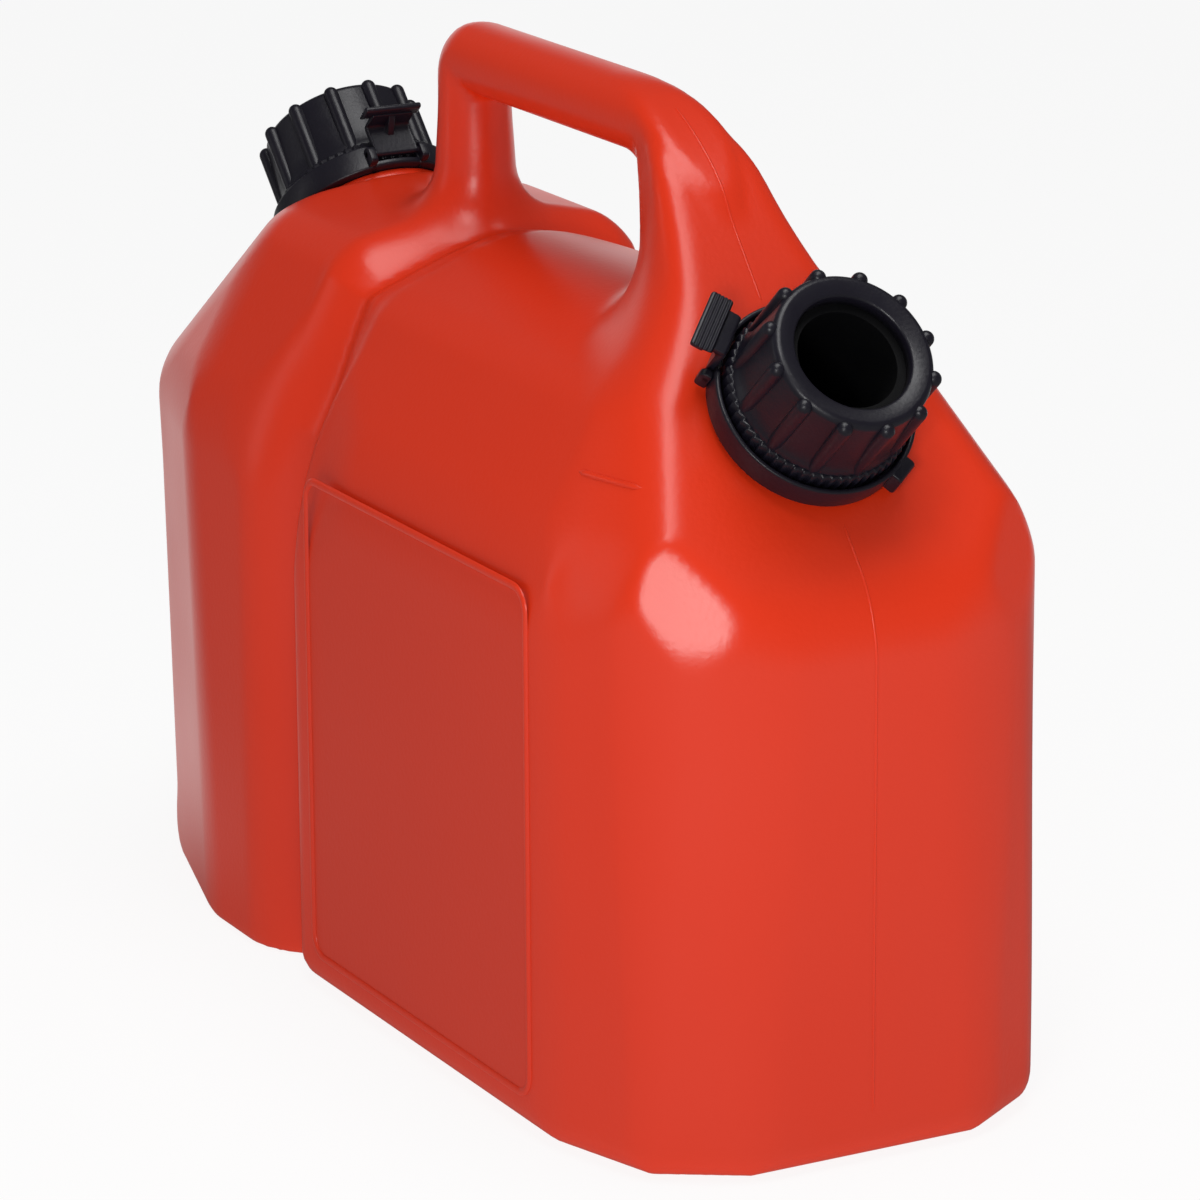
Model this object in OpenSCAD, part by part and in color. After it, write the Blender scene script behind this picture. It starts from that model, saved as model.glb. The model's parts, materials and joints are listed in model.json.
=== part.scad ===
// Combination fuel can: one blow-moulded shell with a fuel chamber in front, an oil
// chamber behind, a hollow loop handle and two screw closures with child locks.
// Millimetres. +X is the front, Z is up, the can stands on z = 0.

/* [Chambers] */
// outside width of both chambers
can_w = 162; // [150:1:176]
// wall thickness of the moulding
wall = 2.2; // [1.8:0.1:2.6]
// length of the fuel chamber
fuel_len = 233.2; // [224:0.2:242]
// length of the oil chamber
oil_len = 140; // [134:0.5:148]
// middle of the pinched web between the chambers
web_x = -47.7; // [-54:0.1:-42]
// gap that the web bridges
web_t = 8; // [6:0.5:10]
// how far the web stays in from the chamber sides
web_inset = 15; // [12:0.5:20]
// where the fuel chamber's sides start to taper to the front
fuel_taper_x = 132; // [124:1:138]
// inward taper of the fuel chamber's sides, degrees
fuel_taper = 17; // [15:0.5:19]
// where the tapered sides turn into the chamfered front corners
chamfer_x = 171.5; // [168:0.5:174]
// half width of the flat front between the chamfers
front_half = 40; // [37:0.5:43]
// radius of the upright edges of the chamfers
chamfer_r = 24; // [18:1:28]
// height where the corner facets over the chamfers start
facet_z = 165; // [161:0.5:169]
// plan radius of the fuel chamber's rear corners
back_corner_r = 8; // [5:0.5:10]
// plan radius of the oil chamber's corners beside the groove
groove_corner_r = 30; // [24:1:34]
// plan radius of the oil chamber's rear corners
rear_corner_r = 26; // [20:1:30]
// length of the oil chamber's straight side before it tapers
oil_straight = 68; // [62:1:72]
// inward taper of the oil chamber's sides, degrees
oil_taper = 15; // [13:0.5:16]
// how much the tapered sides draw in towards the floor
oil_draft = 3; // [1:0.5:4]
// radius of the fuel chamber's bottom edges
base_r = 6; // [4:0.5:8]
// radius of the oil chamber's rear bottom edge
oil_base_r = 22; // [18:1:28]

/* [Roof] */
// height where the sides turn into the shoulders
shoulder_z = 178; // [174:1:182]
// half width of the shallow roof
roof_half = 52; // [49:0.5:55]
// height of the shallow roof's outer edge
roof_edge_z = 228; // [225:0.5:231]
// height of the fuel chamber's roof ridge
roof_z = 244; // [242:0.5:246]
// how much the oil chamber's roof stands above the fuel chamber's
oil_roof_rise = 2.5; // [1:0.5:4]
// radius where side turns into shoulder
shoulder_r = 35; // [25:1:40]
// radius where shoulder turns into roof
roof_r = 22; // [16:1:26]
// tilt of the front slope from the horizontal, degrees
front_slope = 49.5; // [48:0.5:51]
// height where the front slope meets the front face
front_break_z = 171.8; // [169:0.2:174]
// radius of that meeting
front_break_r = 34; // [26:1:40]
// tilt of the rear slope from the horizontal, degrees
rear_slope = 44.5; // [43:0.5:46]
// height where the rear slope meets the rear face
rear_break_z = 178.5; // [176:0.5:181]
// radius of that meeting
rear_break_r = 28; // [22:1:34]

/* [Handle] */
// height of the top of the handle
handle_top = 307; // [301:0.5:312]
// width of the grip bar
grip_w = 24; // [23.2:0.2:26]
// height of the grip bar
grip_h = 23.6; // [23:0.2:25]
// edge radius of the grip bar
grip_r = 11.4; // [9:0.2:11.4]
// rear face of the rear leg
handle_rear_x = -78; // [-81:0.5:-75]
// thickness of the rear leg
leg_t = 27; // [25:0.5:29]
// edge radius of the rear leg
leg_r = 12; // [10:0.2:12]
// radius over the rear leg
handle_rear_r = 21; // [16:1:26]
// radius where the front slope turns into the grip
handle_front_r = 85; // [70:1:96]
// front end of the hand gap, under the grip
gap_front_x = 66; // [60:1:70]
// how much further forward the gap ends at the roof
gap_lean = 14; // [8:1:18]
// half width of the front leg where it meets the roof
hump_half = 38; // [35:0.5:41]
// half width of the front leg half way up
hump_mid_half = 22; // [20:0.5:24]
// half width of the front leg at the grip
hump_top_half = 15; // [14:0.5:16]
// how much the hips beside the front slope are bevelled off
hip_cut = 6; // [4:0.5:8]
// how much the hips beside the rear slope are bevelled off
rear_hip_cut = 5; // [3:0.5:7]

/* [Closures] */
// distance up the front slope from its lower edge to the fuel neck
fuel_neck_run = 66; // [64:0.5:68]
// distance up the rear slope from its lower edge to the oil neck
oil_neck_run = 68; // [66:0.5:70]
// radius of the necks' bores
neck_bore_r = 18.5; // [17.8:0.1:18.8]
// wall of the necks
neck_wall = 3.2; // [2.8:0.1:3.6]
// height of the neck rims above the slopes
neck_h = 27.4; // [26.6:0.2:28.4]
// radius of the flat seat round each neck
seat_r = 29; // [27:0.5:31]
// height of that seat
seat_h = 1; // [0.6:0.1:1.2]
// pitch of the neck threads
thread_pitch = 4; // [3.5:0.1:4.5]
// depth of the neck threads
thread_depth = 1.5; // [1.3:0.1:1.6]
// turns of thread on each neck
thread_turns = 2.5; // [2:0.25:2.75]
// play between neck and collar threads
thread_play = 0.6; // [0.5:0.05:0.75]
// radius of the hole in a collar's top
collar_hole_r = 17.6; // [16.8:0.1:18]
// outer radius of a collar's top
collar_top_r = 25.5; // [25.2:0.1:25.7]
// outer radius of a collar above its skirt
collar_foot_r = 26.8; // [26.5:0.1:27]
// thickness of a collar's top
collar_top_t = 5.4; // [4.8:0.2:6.2]
// how far the collar's top dishes in towards its hole
collar_dish = 1.2; // [0.8:0.1:1.6]
// bevel round a collar's top
collar_bevel = 1.6; // [1:0.2:2.2]
// number of grip ribs
rib_count = 12; // [10:1:14]
// radius of a grip rib
rib_r = 2.1; // [1.8:0.1:2.2]
// number of saw teeth on a skirt
tooth_count = 60; // [48:1:72]
// radius over the saw teeth
tooth_r = 29.4; // [29.3:0.1:29.6]
// depth of the saw teeth
tooth_depth = 1.2; // [0.9:0.1:1.2]
// height of the top of the toothed skirt above the slope
skirt_top = 13.6; // [13:0.2:14.4]
// height of the skirt
skirt_h = 8.4; // [7.6:0.2:8.6]
// rib phase of the fuel collar, degrees
fuel_collar_clock = 4; // [0:1:29]
// rib phase of the oil collar, degrees
oil_collar_clock = 6; // [0:1:29]

/* [Seals and spouts] */
// thickness of a gasket
gasket_t = 2.2; // [1.8:0.1:2.6]
// thickness of a spout's flange
flange_t = 3; // [2.6:0.1:3.4]
// outer radius of a spout at its flange
spout_r = 17.5; // [17.2:0.1:17.6]
// wall of a spout
spout_wall = 1.7; // [1.4:0.1:2]
// radius of a spout's tip
spout_tip_r = 8; // [7:0.5:9]
// length of a spout's straight tip
spout_tip_len = 26; // [22:1:30]
// depth of the fuel spout's tip below the slope
fuel_spout_depth = 122; // [110:1:130]
// depth of the oil spout's tip below the slope
oil_spout_depth = 84; // [76:1:88]
// length of a tip cap
tip_cap_len = 14; // [12:0.5:16]
// wall of a tip cap
tip_cap_wall = 1.8; // [1.5:0.1:2.2]
// play between neighbouring pieces that slide or turn
play = 0.35; // [0.3:0.05:0.5]
// gap between faces that rest on each other
rest_gap = 0.1; // [0.08:0.01:0.15]

/* [Locks] */
// outer radius of a lock ring
ring_r = 32; // [31.8:0.1:33]
// wall of a lock ring
ring_wall = 1.6; // [1.3:0.1:1.8]
// height of a lock ring
ring_h = 9; // [8.4:0.2:9.4]
// floor thickness of a lock ring
ring_floor = 2.2; // [1.8:0.1:2.4]
// width of a neck key
key_w = 4; // [3:0.5:5]
// turn from a lever to the clasp lug on its ring, degrees
lug_turn = 167; // [160:1:180]
// width of each clasp lug
lug_w = 9; // [6:0.5:12]
// how far each clasp lug stands out of its ring
lug_out = 3.2; // [2:0.1:4.5]
// thickness of each pivot ear
ear_t = 2.6; // [2:0.1:3.5]
// play between a lever arm and the ears beside it
ear_play = 0.7; // [0.4:0.1:1]
// how far the keys stand out of a neck
key_h = 1.4; // [1:0.1:1.8]
// radius of the middle of a thumb ledge
ledge_r = 38.5; // [37.5:0.1:39.5]
// tangential length of a thumb ledge
ledge_len = 20.4; // [18:0.2:22]
// radial width of a thumb ledge
ledge_w = 7.1; // [6.4:0.1:7.8]
// thickness of a thumb ledge
ledge_t = 2.2; // [1.9:0.1:2.6]
// height of a thumb ledge above the slope
ledge_top = 18.2; // [17.4:0.2:19.4]
// number of grooves in a thumb ledge
groove_count = 4; // [3:1:5]
// radius of a lever's pivot pin
pivot_r = 1.2; // [1:0.1:1.4]
// running clearance of the pivot pin in its ears
pivot_play = 0.1; // [0.06:0.02:0.2]
// height of the pivot above the slope
pivot_z = 5.6; // [5.2:0.1:6]
// width of a lever's arm
arm_w = 15; // [13:0.5:16]
// thickness of a lever's arm
arm_t = 2.4; // [2.1:0.1:2.7]
// gap between pawl and saw teeth
pawl_gap = 0.5; // [0.4:0.05:0.6]
// direction of the fuel lever round its neck, degrees
fuel_lever_clock = 230; // [225:1:235]
// direction of the oil lever round its neck, degrees
oil_lever_clock = 0; // [-5:1:5]

/* [Hidden] */
$fn = 64;
front_x = web_x + web_t / 2 + fuel_len;
fuel_rear_x = web_x + web_t / 2;
oil_front_x = web_x - web_t / 2;
rear_x = oil_front_x - oil_len;
half_w = can_w / 2;
far = 900;
arc_n = 5;

neck_r = neck_bore_r + neck_wall;
crest_r = neck_r + thread_depth;
collar_bore_r = crest_r + thread_play;
thread_foot = 12;
gasket_z = neck_h + rest_gap;
flange_z = gasket_z + gasket_t + rest_gap;
flange_r = collar_bore_r - 1.2;
collar_under = flange_z + flange_t + play;
collar_top = collar_under + collar_top_t;
ring_z = seat_h + rest_gap;
pawl_tip = tooth_r + pawl_gap;
arm_in = ring_r - ring_wall + 0.3;
pivot_x = arm_in + arm_t / 2;
ear_in = arm_w / 2 + ear_play;

fuel_foot = [front_x - fuel_neck_run * cos(front_slope), 0, front_break_z + fuel_neck_run * sin(front_slope)];
oil_foot = [rear_x + oil_neck_run * cos(rear_slope), 0, rear_break_z + oil_neck_run * sin(rear_slope)];

red = [0.82, 0.22, 0.15];
black = [0.14, 0.13, 0.16];
dark = [0.07, 0.07, 0.08];

// outlines are lists of [x, y, corner radius], counter-clockwise
function unit(v) = v / norm(v);
function xy(p) = [p.x, p.y];
function left(a, b) = let (d = unit(b - a)) [-d.y, d.x];
function turned(v, q) = [v.x * cos(q) - v.y * sin(q), v.x * sin(q) + v.y * cos(q)];
function inset_corner(a, b, c, r, t) =
    let (m = left(a, b), n = left(b, c), q = b + t * (m + n) / (1 + m * n))
    [q.x, q.y, cross(b - a, c - b) > 0 ? max(r - t, 0.8) : r + t];
function inset(p, t) =
    let (n = len(p))
    [for (i = [0:n - 1]) inset_corner(xy(p[(i + n - 1) % n]), xy(p[i]), xy(p[(i + 1) % n]), p[i].z, t)];
function corner_arc(a, b, c, r) =
    let (u = unit(a - b),
         w = unit(c - b),
         h = acos(u * w) / 2,
         m = b + unit(u + w) * r / sin(h),
         s = b + u * r / tan(h) - m,
         way = cross(b - a, c - b) > 0 ? 1 : -1)
    [for (j = [0:arc_n]) m + turned(s, way * (180 - 2 * h) * j / arc_n)];
function rounded(p) =
    let (n = len(p))
    [for (i = [0:n - 1])
        each corner_arc(xy(p[(i + n - 1) % n]), xy(p[i]), xy(p[(i + 1) % n]), p[i].z)];

chamfer_half = half_w - (chamfer_x - fuel_taper_x) * tan(fuel_taper);
fuel_plan = [
    [fuel_rear_x, -half_w, back_corner_r],
    [fuel_taper_x, -half_w, 60],
    [chamfer_x, -chamfer_half - 0.8, chamfer_r],
    [front_x, -front_half, chamfer_r],
    [front_x, front_half, chamfer_r],
    [chamfer_x, chamfer_half + 0.8, chamfer_r],
    [fuel_taper_x, half_w, 60],
    [fuel_rear_x, half_w, back_corner_r]];
taper_in = (oil_len - oil_straight) * tan(oil_taper);
oil_plan = [
    [rear_x, -half_w + taper_in - 1.2, rear_corner_r],
    [oil_front_x - oil_straight, -half_w, 40],
    [oil_front_x, -half_w, groove_corner_r],
    [oil_front_x, half_w, groove_corner_r],
    [oil_front_x - oil_straight, half_w, 40],
    [rear_x, half_w - taper_in + 1.2, rear_corner_r]];
// section of a tapered side, seen along it, y measured from the ridge
shoulder_run = (half_w - roof_half) / (roof_edge_z - shoulder_z);
taper_side = [
    [oil_draft, -30, 1],
    [far, -30, 1],
    [far, far, 1],
    [(far - shoulder_z) * shoulder_run, far, 1],
    [0, shoulder_z, shoulder_r]];
front_taper_side = [
    [0, 0, base_r],
    [far, 0, 1],
    [far, far, 1],
    [(far - shoulder_z) * shoulder_run, far, 1],
    [0, shoulder_z, shoulder_r]];
// direction square to the bevelled hip beside the front slope
shoulder_rise = roof_edge_z - shoulder_z;
front_shoulder_n = unit([sin(fuel_taper) * shoulder_rise, cos(fuel_taper) * shoulder_rise, half_w - roof_half]);
hip_n = unit(front_shoulder_n + [sin(front_slope), 0, cos(front_slope)]);
slope_top_x = front_x - (handle_top - front_break_z) / tan(front_slope);
fuel_side = [
    [handle_rear_x, 0, 1],
    [front_x, 0, base_r],
    [front_x, front_break_z, front_break_r],
    [slope_top_x, handle_top, handle_front_r],
    [handle_rear_x, handle_top, handle_rear_r]];
oil_roof_z = roof_z + oil_roof_rise;
oil_slope_top_x = rear_x + (oil_roof_z + 2 - rear_break_z) / tan(rear_slope);
oil_side = [
    [rear_x, 0, oil_base_r],
    [oil_front_x + 1, 0, 1],
    [oil_front_x + 1, oil_roof_z + 2, 4],
    [oil_slope_top_x, oil_roof_z + 2, 20],
    [rear_x, rear_break_z, rear_break_r]];
fuel_front = [
    [-half_w, 0, base_r],
    [half_w, 0, base_r],
    [half_w, shoulder_z, shoulder_r],
    [roof_half, roof_edge_z, roof_r],
    [0, roof_z, 60],
    [-roof_half, roof_edge_z, roof_r],
    [-half_w, shoulder_z, shoulder_r]];
oil_front = [
    [-half_w + 0.4, 0, 5],
    [half_w - 0.4, 0, 5],
    [half_w - 0.4, shoulder_z + 0.5, shoulder_r],
    [roof_half - 1, roof_edge_z + 8, roof_r],
    [0, oil_roof_z, 60],
    [-roof_half + 1, roof_edge_z + 8, roof_r],
    [-half_w + 0.4, shoulder_z + 0.5, shoulder_r]];
web_front = [
    [-half_w + web_inset, 9, 3],
    [half_w - web_inset, 9, 3],
    [half_w - web_inset, shoulder_z + 2, 20],
    [roof_half - 4, roof_edge_z - 3, 14],
    [0, roof_z - 3, 50],
    [-roof_half + 4, roof_edge_z - 3, 14],
    [-half_w + web_inset, shoulder_z + 2, 20]];
hump_foot_z = roof_edge_z - 12;
hump_mid_z = (roof_edge_z + handle_top) / 2 - 6;
hump_front = [
    [-hump_half - 6, hump_foot_z - 12, 1],
    [hump_half + 6, hump_foot_z - 12, 1],
    [hump_half, roof_edge_z + 4, 20],
    [hump_mid_half, hump_mid_z, 60],
    [hump_top_half, handle_top - 6, 20],
    [hump_top_half - 5, handle_top + 1, 4],
    [-hump_top_half + 5, handle_top + 1, 4],
    [-hump_top_half, handle_top - 6, 20],
    [-hump_mid_half, hump_mid_z, 60],
    [-hump_half, roof_edge_z + 4, 20]];
hump_plan = [
    [gap_front_x - 12, -grip_w / 2 - 1, 1],
    [gap_front_x + 10, -grip_w / 2 - 2, 30],
    [gap_front_x + 52, -hump_half - 6, 30],
    [front_x + 20, -hump_half - 7, 1],
    [front_x + 20, hump_half + 7, 1],
    [gap_front_x + 52, hump_half + 6, 30],
    [gap_front_x + 10, grip_w / 2 + 2, 30],
    [gap_front_x - 12, grip_w / 2 + 1, 1]];
gap_top = handle_top - grip_h;
hump_side = [
    [gap_front_x + gap_lean, hump_foot_z - 12, 1],
    [front_x + 20, hump_foot_z - 12, 1],
    [front_x + 20, handle_top + 20, 1],
    [gap_front_x - 6, handle_top + 20, 1],
    [gap_front_x - 6, gap_top - 2, 1],
    [gap_front_x, gap_top - 4, 8],
    [gap_front_x + gap_lean, roof_z + 6, 30]];
bar_front = [
    [-grip_w / 2, gap_top, grip_r],
    [grip_w / 2, gap_top, grip_r],
    [grip_w / 2, handle_top + 0.3, grip_r],
    [-grip_w / 2, handle_top + 0.3, grip_r]];
leg_w = grip_w + 1.4;
leg_plan = [
    [handle_rear_x - 0.4, -leg_w / 2, leg_r],
    [handle_rear_x + leg_t, -leg_w / 2, leg_r],
    [handle_rear_x + leg_t, leg_w / 2, leg_r],
    [handle_rear_x - 0.4, leg_w / 2, leg_r]];

module across(p) {
    rotate([90, 0, 0])
        linear_extrude(height = far, center = true)
            polygon(rounded(p));
}

module along(p, x0, x1) {
    translate([x0, 0, 0])
        rotate([90, 0, 90])
            linear_extrude(height = x1 - x0)
                polygon(rounded(p));
}

module upright(p, z0, z1) {
    translate([0, 0, z0])
        linear_extrude(height = z1 - z0)
            polygon(rounded(p));
}

// everything behind a plane through a point, square to the direction n
module behind(at, n, side) {
    mirror([0, side, 0])
        translate(at)
            rotate([0, acos(n.z), atan2(n.y, n.x)])
                translate([-far / 2, -far / 2, -far])
                    cube([far, far, far]);
}

// bevels the hip beside the front slope
module behind_hip(side, t) {
    drawn_in = (fuel_foot.x - fuel_taper_x) * tan(fuel_taper);
    rise_in = (fuel_foot.z - shoulder_z) * shoulder_run / cos(fuel_taper);
    hip = [fuel_foot.x, half_w - drawn_in - rise_in, fuel_foot.z];
    behind(hip - (hip_cut + t) * hip_n, hip_n, side);
}

// leans the top of a chamfered front corner back
module behind_facet(side, t) {
    n = unit(hip_n + unit([chamfer_half - front_half, front_x - chamfer_x, 0]));
    foot = [(chamfer_x + front_x) / 2, (chamfer_half + front_half) / 2, facet_z];
    behind(foot - t * n, n, side);
}

// everything inside a tapered side of the fuel chamber
module inside_front_taper(side, t) {
    mirror([0, side, 0])
        translate([fuel_taper_x, -half_w, 0])
            rotate([0, 0, fuel_taper])
                along(inset(front_taper_side, t), -far / 2, far / 2);
}

// bevels the hip beside the rear slope
module behind_rear_hip(side, t) {
    slope_n = [-sin(rear_slope), 0, cos(rear_slope)];
    rise = roof_edge_z - shoulder_z;
    shoulder_n = unit([-sin(oil_taper) * rise, cos(oil_taper) * rise, half_w - roof_half]);
    n = unit(slope_n + shoulder_n);
    drawn_in = (oil_front_x - oil_straight - oil_foot.x) * tan(oil_taper);
    hip = [oil_foot.x, half_w - drawn_in - (oil_foot.z - shoulder_z) * shoulder_run, oil_foot.z];
    behind(hip - (rear_hip_cut + t) * n, n, side);
}

// everything inside a tapered side of the oil chamber
module inside_taper(side, t) {
    mirror([0, side, 0])
        translate([oil_front_x - oil_straight, -half_w, 0])
            rotate([0, 0, -oil_taper])
                along(inset(taper_side, t), -far / 2, far / 2);
}

// fuel chamber with front leg, grip and rear leg; t insets it for the hollow
module fuel_form(t) {
    intersection() {
        across(inset(fuel_side, t));
        union() {
            intersection() {
                along(inset(fuel_front, t), fuel_rear_x - 40, front_x + 40);
                upright(inset(fuel_plan, t), -10, handle_top + 40);
                inside_front_taper(0, t);
                inside_front_taper(1, t);
                behind_hip(0, t);
                behind_hip(1, t);
                behind_facet(0, t);
                behind_facet(1, t);
            }
            intersection() {
                along(inset(hump_front, t), gap_front_x - 30, front_x + 10);
                across(inset(hump_side, t));
                upright(inset(hump_plan, t), shoulder_z, handle_top + 40);
            }
            along(inset(bar_front, t), handle_rear_x + leg_t / 2, gap_front_x + 14);
            upright(inset(leg_plan, t), t > 0 ? oil_roof_z + 4 : roof_z - 12, handle_top + 10);
        }
    }
}

module oil_form(t) {
    intersection() {
        across(inset(oil_side, t));
        along(inset(oil_front, t), rear_x - 40, oil_front_x + 40);
        upright(inset(oil_plan, t), -10, handle_top);
        inside_taper(0, t);
        inside_taper(1, t);
        behind_rear_hip(0, t);
        behind_rear_hip(1, t);
    }
}

module at_fuel_neck() {
    translate(fuel_foot)
        rotate([0, front_slope, 0])
            children();
}

module at_oil_neck() {
    translate(oil_foot)
        rotate([0, -rear_slope, 0])
            children();
}

// right-hand thread: section points [radius, height], swept round the axis
module helix(section, pitch, turns, start) {
    steps = ceil(turns * 20);
    n = len(section);
    pts = [for (i = [0:steps], p = section)
        let (q = start + 360 * turns * i / steps)
        [p.x * cos(q), p.x * sin(q), p.y + pitch * turns * i / steps]];
    ends = [[for (k = [0:n - 1]) k], [for (k = [n - 1:-1:0]) steps * n + k]];
    sides = [for (i = [0:steps - 1], k = [0:n - 1])
        let (a = i * n + k, b = i * n + (k + 1) % n)
        each [[a, a + n, b], [b, a + n, b + n]]];
    polyhedron(points = pts, faces = concat(ends, sides));
}

module neck_tube() {
    translate([0, 0, -1.5])
        cylinder(r = seat_r, h = seat_h + 1.5);
    translate([0, 0, -2])
        cylinder(r = neck_r, h = neck_h + 2);
    for (q = [45:90:315])
        rotate([0, 0, q])
            translate([neck_r - 1, -key_w / 2, seat_h - 0.4])
                cube([key_h + 1, key_w, ring_z + ring_floor - seat_h + 0.4]);
    helix([
        [neck_r - 0.6, thread_foot],
        [crest_r, thread_foot + 0.9],
        [crest_r, thread_foot + 1.5],
        [neck_r - 0.6, thread_foot + 2.2]], thread_pitch, thread_turns, 0);
}

module neck_bore() {
    translate([0, 0, -16])
        cylinder(r = neck_bore_r, h = neck_h + 20);
}

module can_body() {
    color(red)
        difference() {
            union() {
                fuel_form(0);
                oil_form(0);
                along(web_front, oil_front_x - 7, fuel_rear_x + 7);
                at_fuel_neck() neck_tube();
                at_oil_neck() neck_tube();
            }
            fuel_form(wall);
            oil_form(wall);
            at_fuel_neck() neck_bore();
            at_oil_neck() neck_bore();
        }
}

module collar(clock) {
    skirt_z = skirt_top - skirt_h;
    root = tooth_r - tooth_depth;
    step = 360 / tooth_count;
    rotate([0, 0, clock])
        difference() {
            union() {
                rotate_extrude()
                    polygon([
                        [collar_bore_r - 2, skirt_top - 4],
                        [root - 0.3, skirt_top - 4],
                        [root - 0.3, skirt_top],
                        [collar_foot_r, skirt_top + 2.6],
                        [collar_top_r, collar_top - 2.4],
                        [collar_top_r - collar_bevel, collar_top],
                        [collar_hole_r - 2, collar_top - collar_dish],
                        [collar_hole_r - 2, collar_under - 1]]);
                translate([0, 0, skirt_z])
                    linear_extrude(height = skirt_h - 0.6)
                        polygon([for (i = [0:tooth_count - 1])
                            each [
                                [root * cos(step * i), root * sin(step * i)],
                                [tooth_r * cos(step * (i + 0.12)), tooth_r * sin(step * (i + 0.12))]]]);
                for (i = [0:rib_count - 1])
                    rotate([0, 0, 360 * i / rib_count])
                        translate([collar_top_r, 0, 0]) {
                            translate([0, 0, skirt_top - 1])
                                cylinder(r = rib_r, h = collar_top - rib_r - skirt_top + 1);
                            translate([0, 0, collar_top - rib_r])
                                sphere(r = rib_r);
                        }
            }
            translate([0, 0, skirt_z - 1])
                cylinder(r = collar_bore_r, h = collar_under - skirt_z + 1);
            translate([0, 0, collar_under - 2])
                cylinder(r = collar_hole_r, h = collar_top_t + 8);
        }
    helix([
        [collar_bore_r + 0.5, thread_foot + 2.1],
        [crest_r - 0.9, thread_foot + 3.1],
        [crest_r - 0.9, thread_foot + 3.5],
        [collar_bore_r + 0.5, thread_foot + 4.5]], thread_pitch, 2, 0);
}

module fuel_collar() {
    color(black)
        at_fuel_neck() collar(fuel_collar_clock);
}

module oil_collar() {
    color(black)
        at_oil_neck() collar(oil_collar_clock);
}

module lock_ring(clock) {
    difference() {
        union() {
            translate([0, 0, ring_z])
                cylinder(r = ring_r, h = ring_h);
            rotate([0, 0, clock]) {
                for (s = [-1, 1])
                    translate([ring_r - 2.6, s * (ear_in + ear_t / 2) - ear_t / 2, ring_z + 0.3])
                        cube([pivot_x + pivot_r + 1.2 - ring_r + 2.6, ear_t, pivot_z + pivot_r + 1.2 - ring_z]);
                rotate([0, 0, lug_turn])
                    translate([ring_r - 1.2, -lug_w / 2, ring_z + 0.5])
                        cube([lug_out + 1.2, lug_w, ring_h - 1.2]);
            }
        }
        translate([0, 0, ring_z + ring_floor])
            cylinder(r = ring_r - ring_wall, h = ring_h);
        translate([0, 0, ring_z - 1])
            cylinder(r = neck_r + play, h = ring_h);
        for (q = [45:90:315])
            rotate([0, 0, q])
                translate([neck_r - 1, -key_w / 2 - play, ring_z - 1])
                    cube([key_h + 1 + 2 * play, key_w + 2 * play, ring_h]);
        rotate([0, 0, clock]) {
            translate([ring_r - 4, -ear_in, ring_z + ring_floor])
                cube([ring_r, 2 * ear_in, ring_h]);
            translate([pivot_x, 0, pivot_z])
                rotate([90, 0, 0])
                    cylinder(r = pivot_r + pivot_play, h = 4 * arm_w, center = true);
        }
    }
}

module fuel_lock_ring() {
    color(black)
        at_fuel_neck() lock_ring(fuel_lever_clock);
}

module oil_lock_ring() {
    color(black)
        at_oil_neck() lock_ring(oil_lever_clock);
}

module lock_lever(clock) {
    ledge_z = ledge_top - ledge_t;
    pitch = ledge_w / (groove_count + 1);
    rotate([0, 0, clock])
        difference() {
            union() {
                translate([arm_in, -arm_w / 2, pivot_z - 1.2])
                    cube([arm_t, arm_w, ledge_z - pivot_z + 1.8]);
                translate([pivot_x, 0, pivot_z])
                    rotate([90, 0, 0])
                        cylinder(r = pivot_r, h = 2 * (ear_in + ear_t), center = true);
                translate([ledge_r - ledge_w / 2, -ledge_len / 2, ledge_z])
                    cube([ledge_w, ledge_len, ledge_t]);
                translate([arm_in, -arm_w / 2, ledge_z - 0.6])
                    cube([ledge_r - arm_in, arm_w, ledge_t - 0.6]);
                translate([pawl_tip, -3.5, ring_z + ring_h + 0.8])
                    cube([arm_in - pawl_tip + 0.8, 7, 2]);
                for (s = [-1, 1])
                    translate([arm_in + arm_t - 0.5, s * (arm_w / 2 - 1.6) - 0.9, ledge_z - 4.5])
                        cube([3, 1.8, 5]);
            }
            for (i = [1:groove_count])
                translate([ledge_r - ledge_w / 2 + pitch * i, 0, ledge_top + 0.25])
                    rotate([90, 0, 0])
                        cylinder(r = 0.6, h = ledge_len - 3, center = true);
        }
}

module fuel_lock_lever() {
    color(black)
        at_fuel_neck() lock_lever(fuel_lever_clock);
}

module oil_lock_lever() {
    color(black)
        at_oil_neck() lock_lever(oil_lever_clock);
}

module gasket() {
    translate([0, 0, gasket_z])
        difference() {
            cylinder(r = neck_r - 0.2, h = gasket_t);
            translate([0, 0, -1])
                cylinder(r = spout_r + play, h = gasket_t + 2);
        }
}

module fuel_gasket() {
    color(dark)
        at_fuel_neck() gasket();
}

module oil_gasket() {
    color(dark)
        at_oil_neck() gasket();
}

// stored spout: flange on the gasket, tube hanging down into the chamber
module spout(depth) {
    tip_z = -depth;
    tip_top = tip_z + spout_tip_len;
    rotate_extrude()
        polygon([
            [spout_r - spout_wall, flange_z + flange_t],
            [spout_r - spout_wall, 2],
            [spout_tip_r - spout_wall, tip_top],
            [spout_tip_r - spout_wall, tip_z],
            [spout_tip_r, tip_z],
            [spout_tip_r, tip_top],
            [spout_r, 2],
            [spout_r, flange_z],
            [flange_r, flange_z],
            [flange_r, flange_z + flange_t]]);
}

module fuel_spout() {
    color(black)
        at_fuel_neck() spout(fuel_spout_depth);
}

module oil_spout() {
    color(black)
        at_oil_neck() spout(oil_spout_depth);
}

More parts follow.
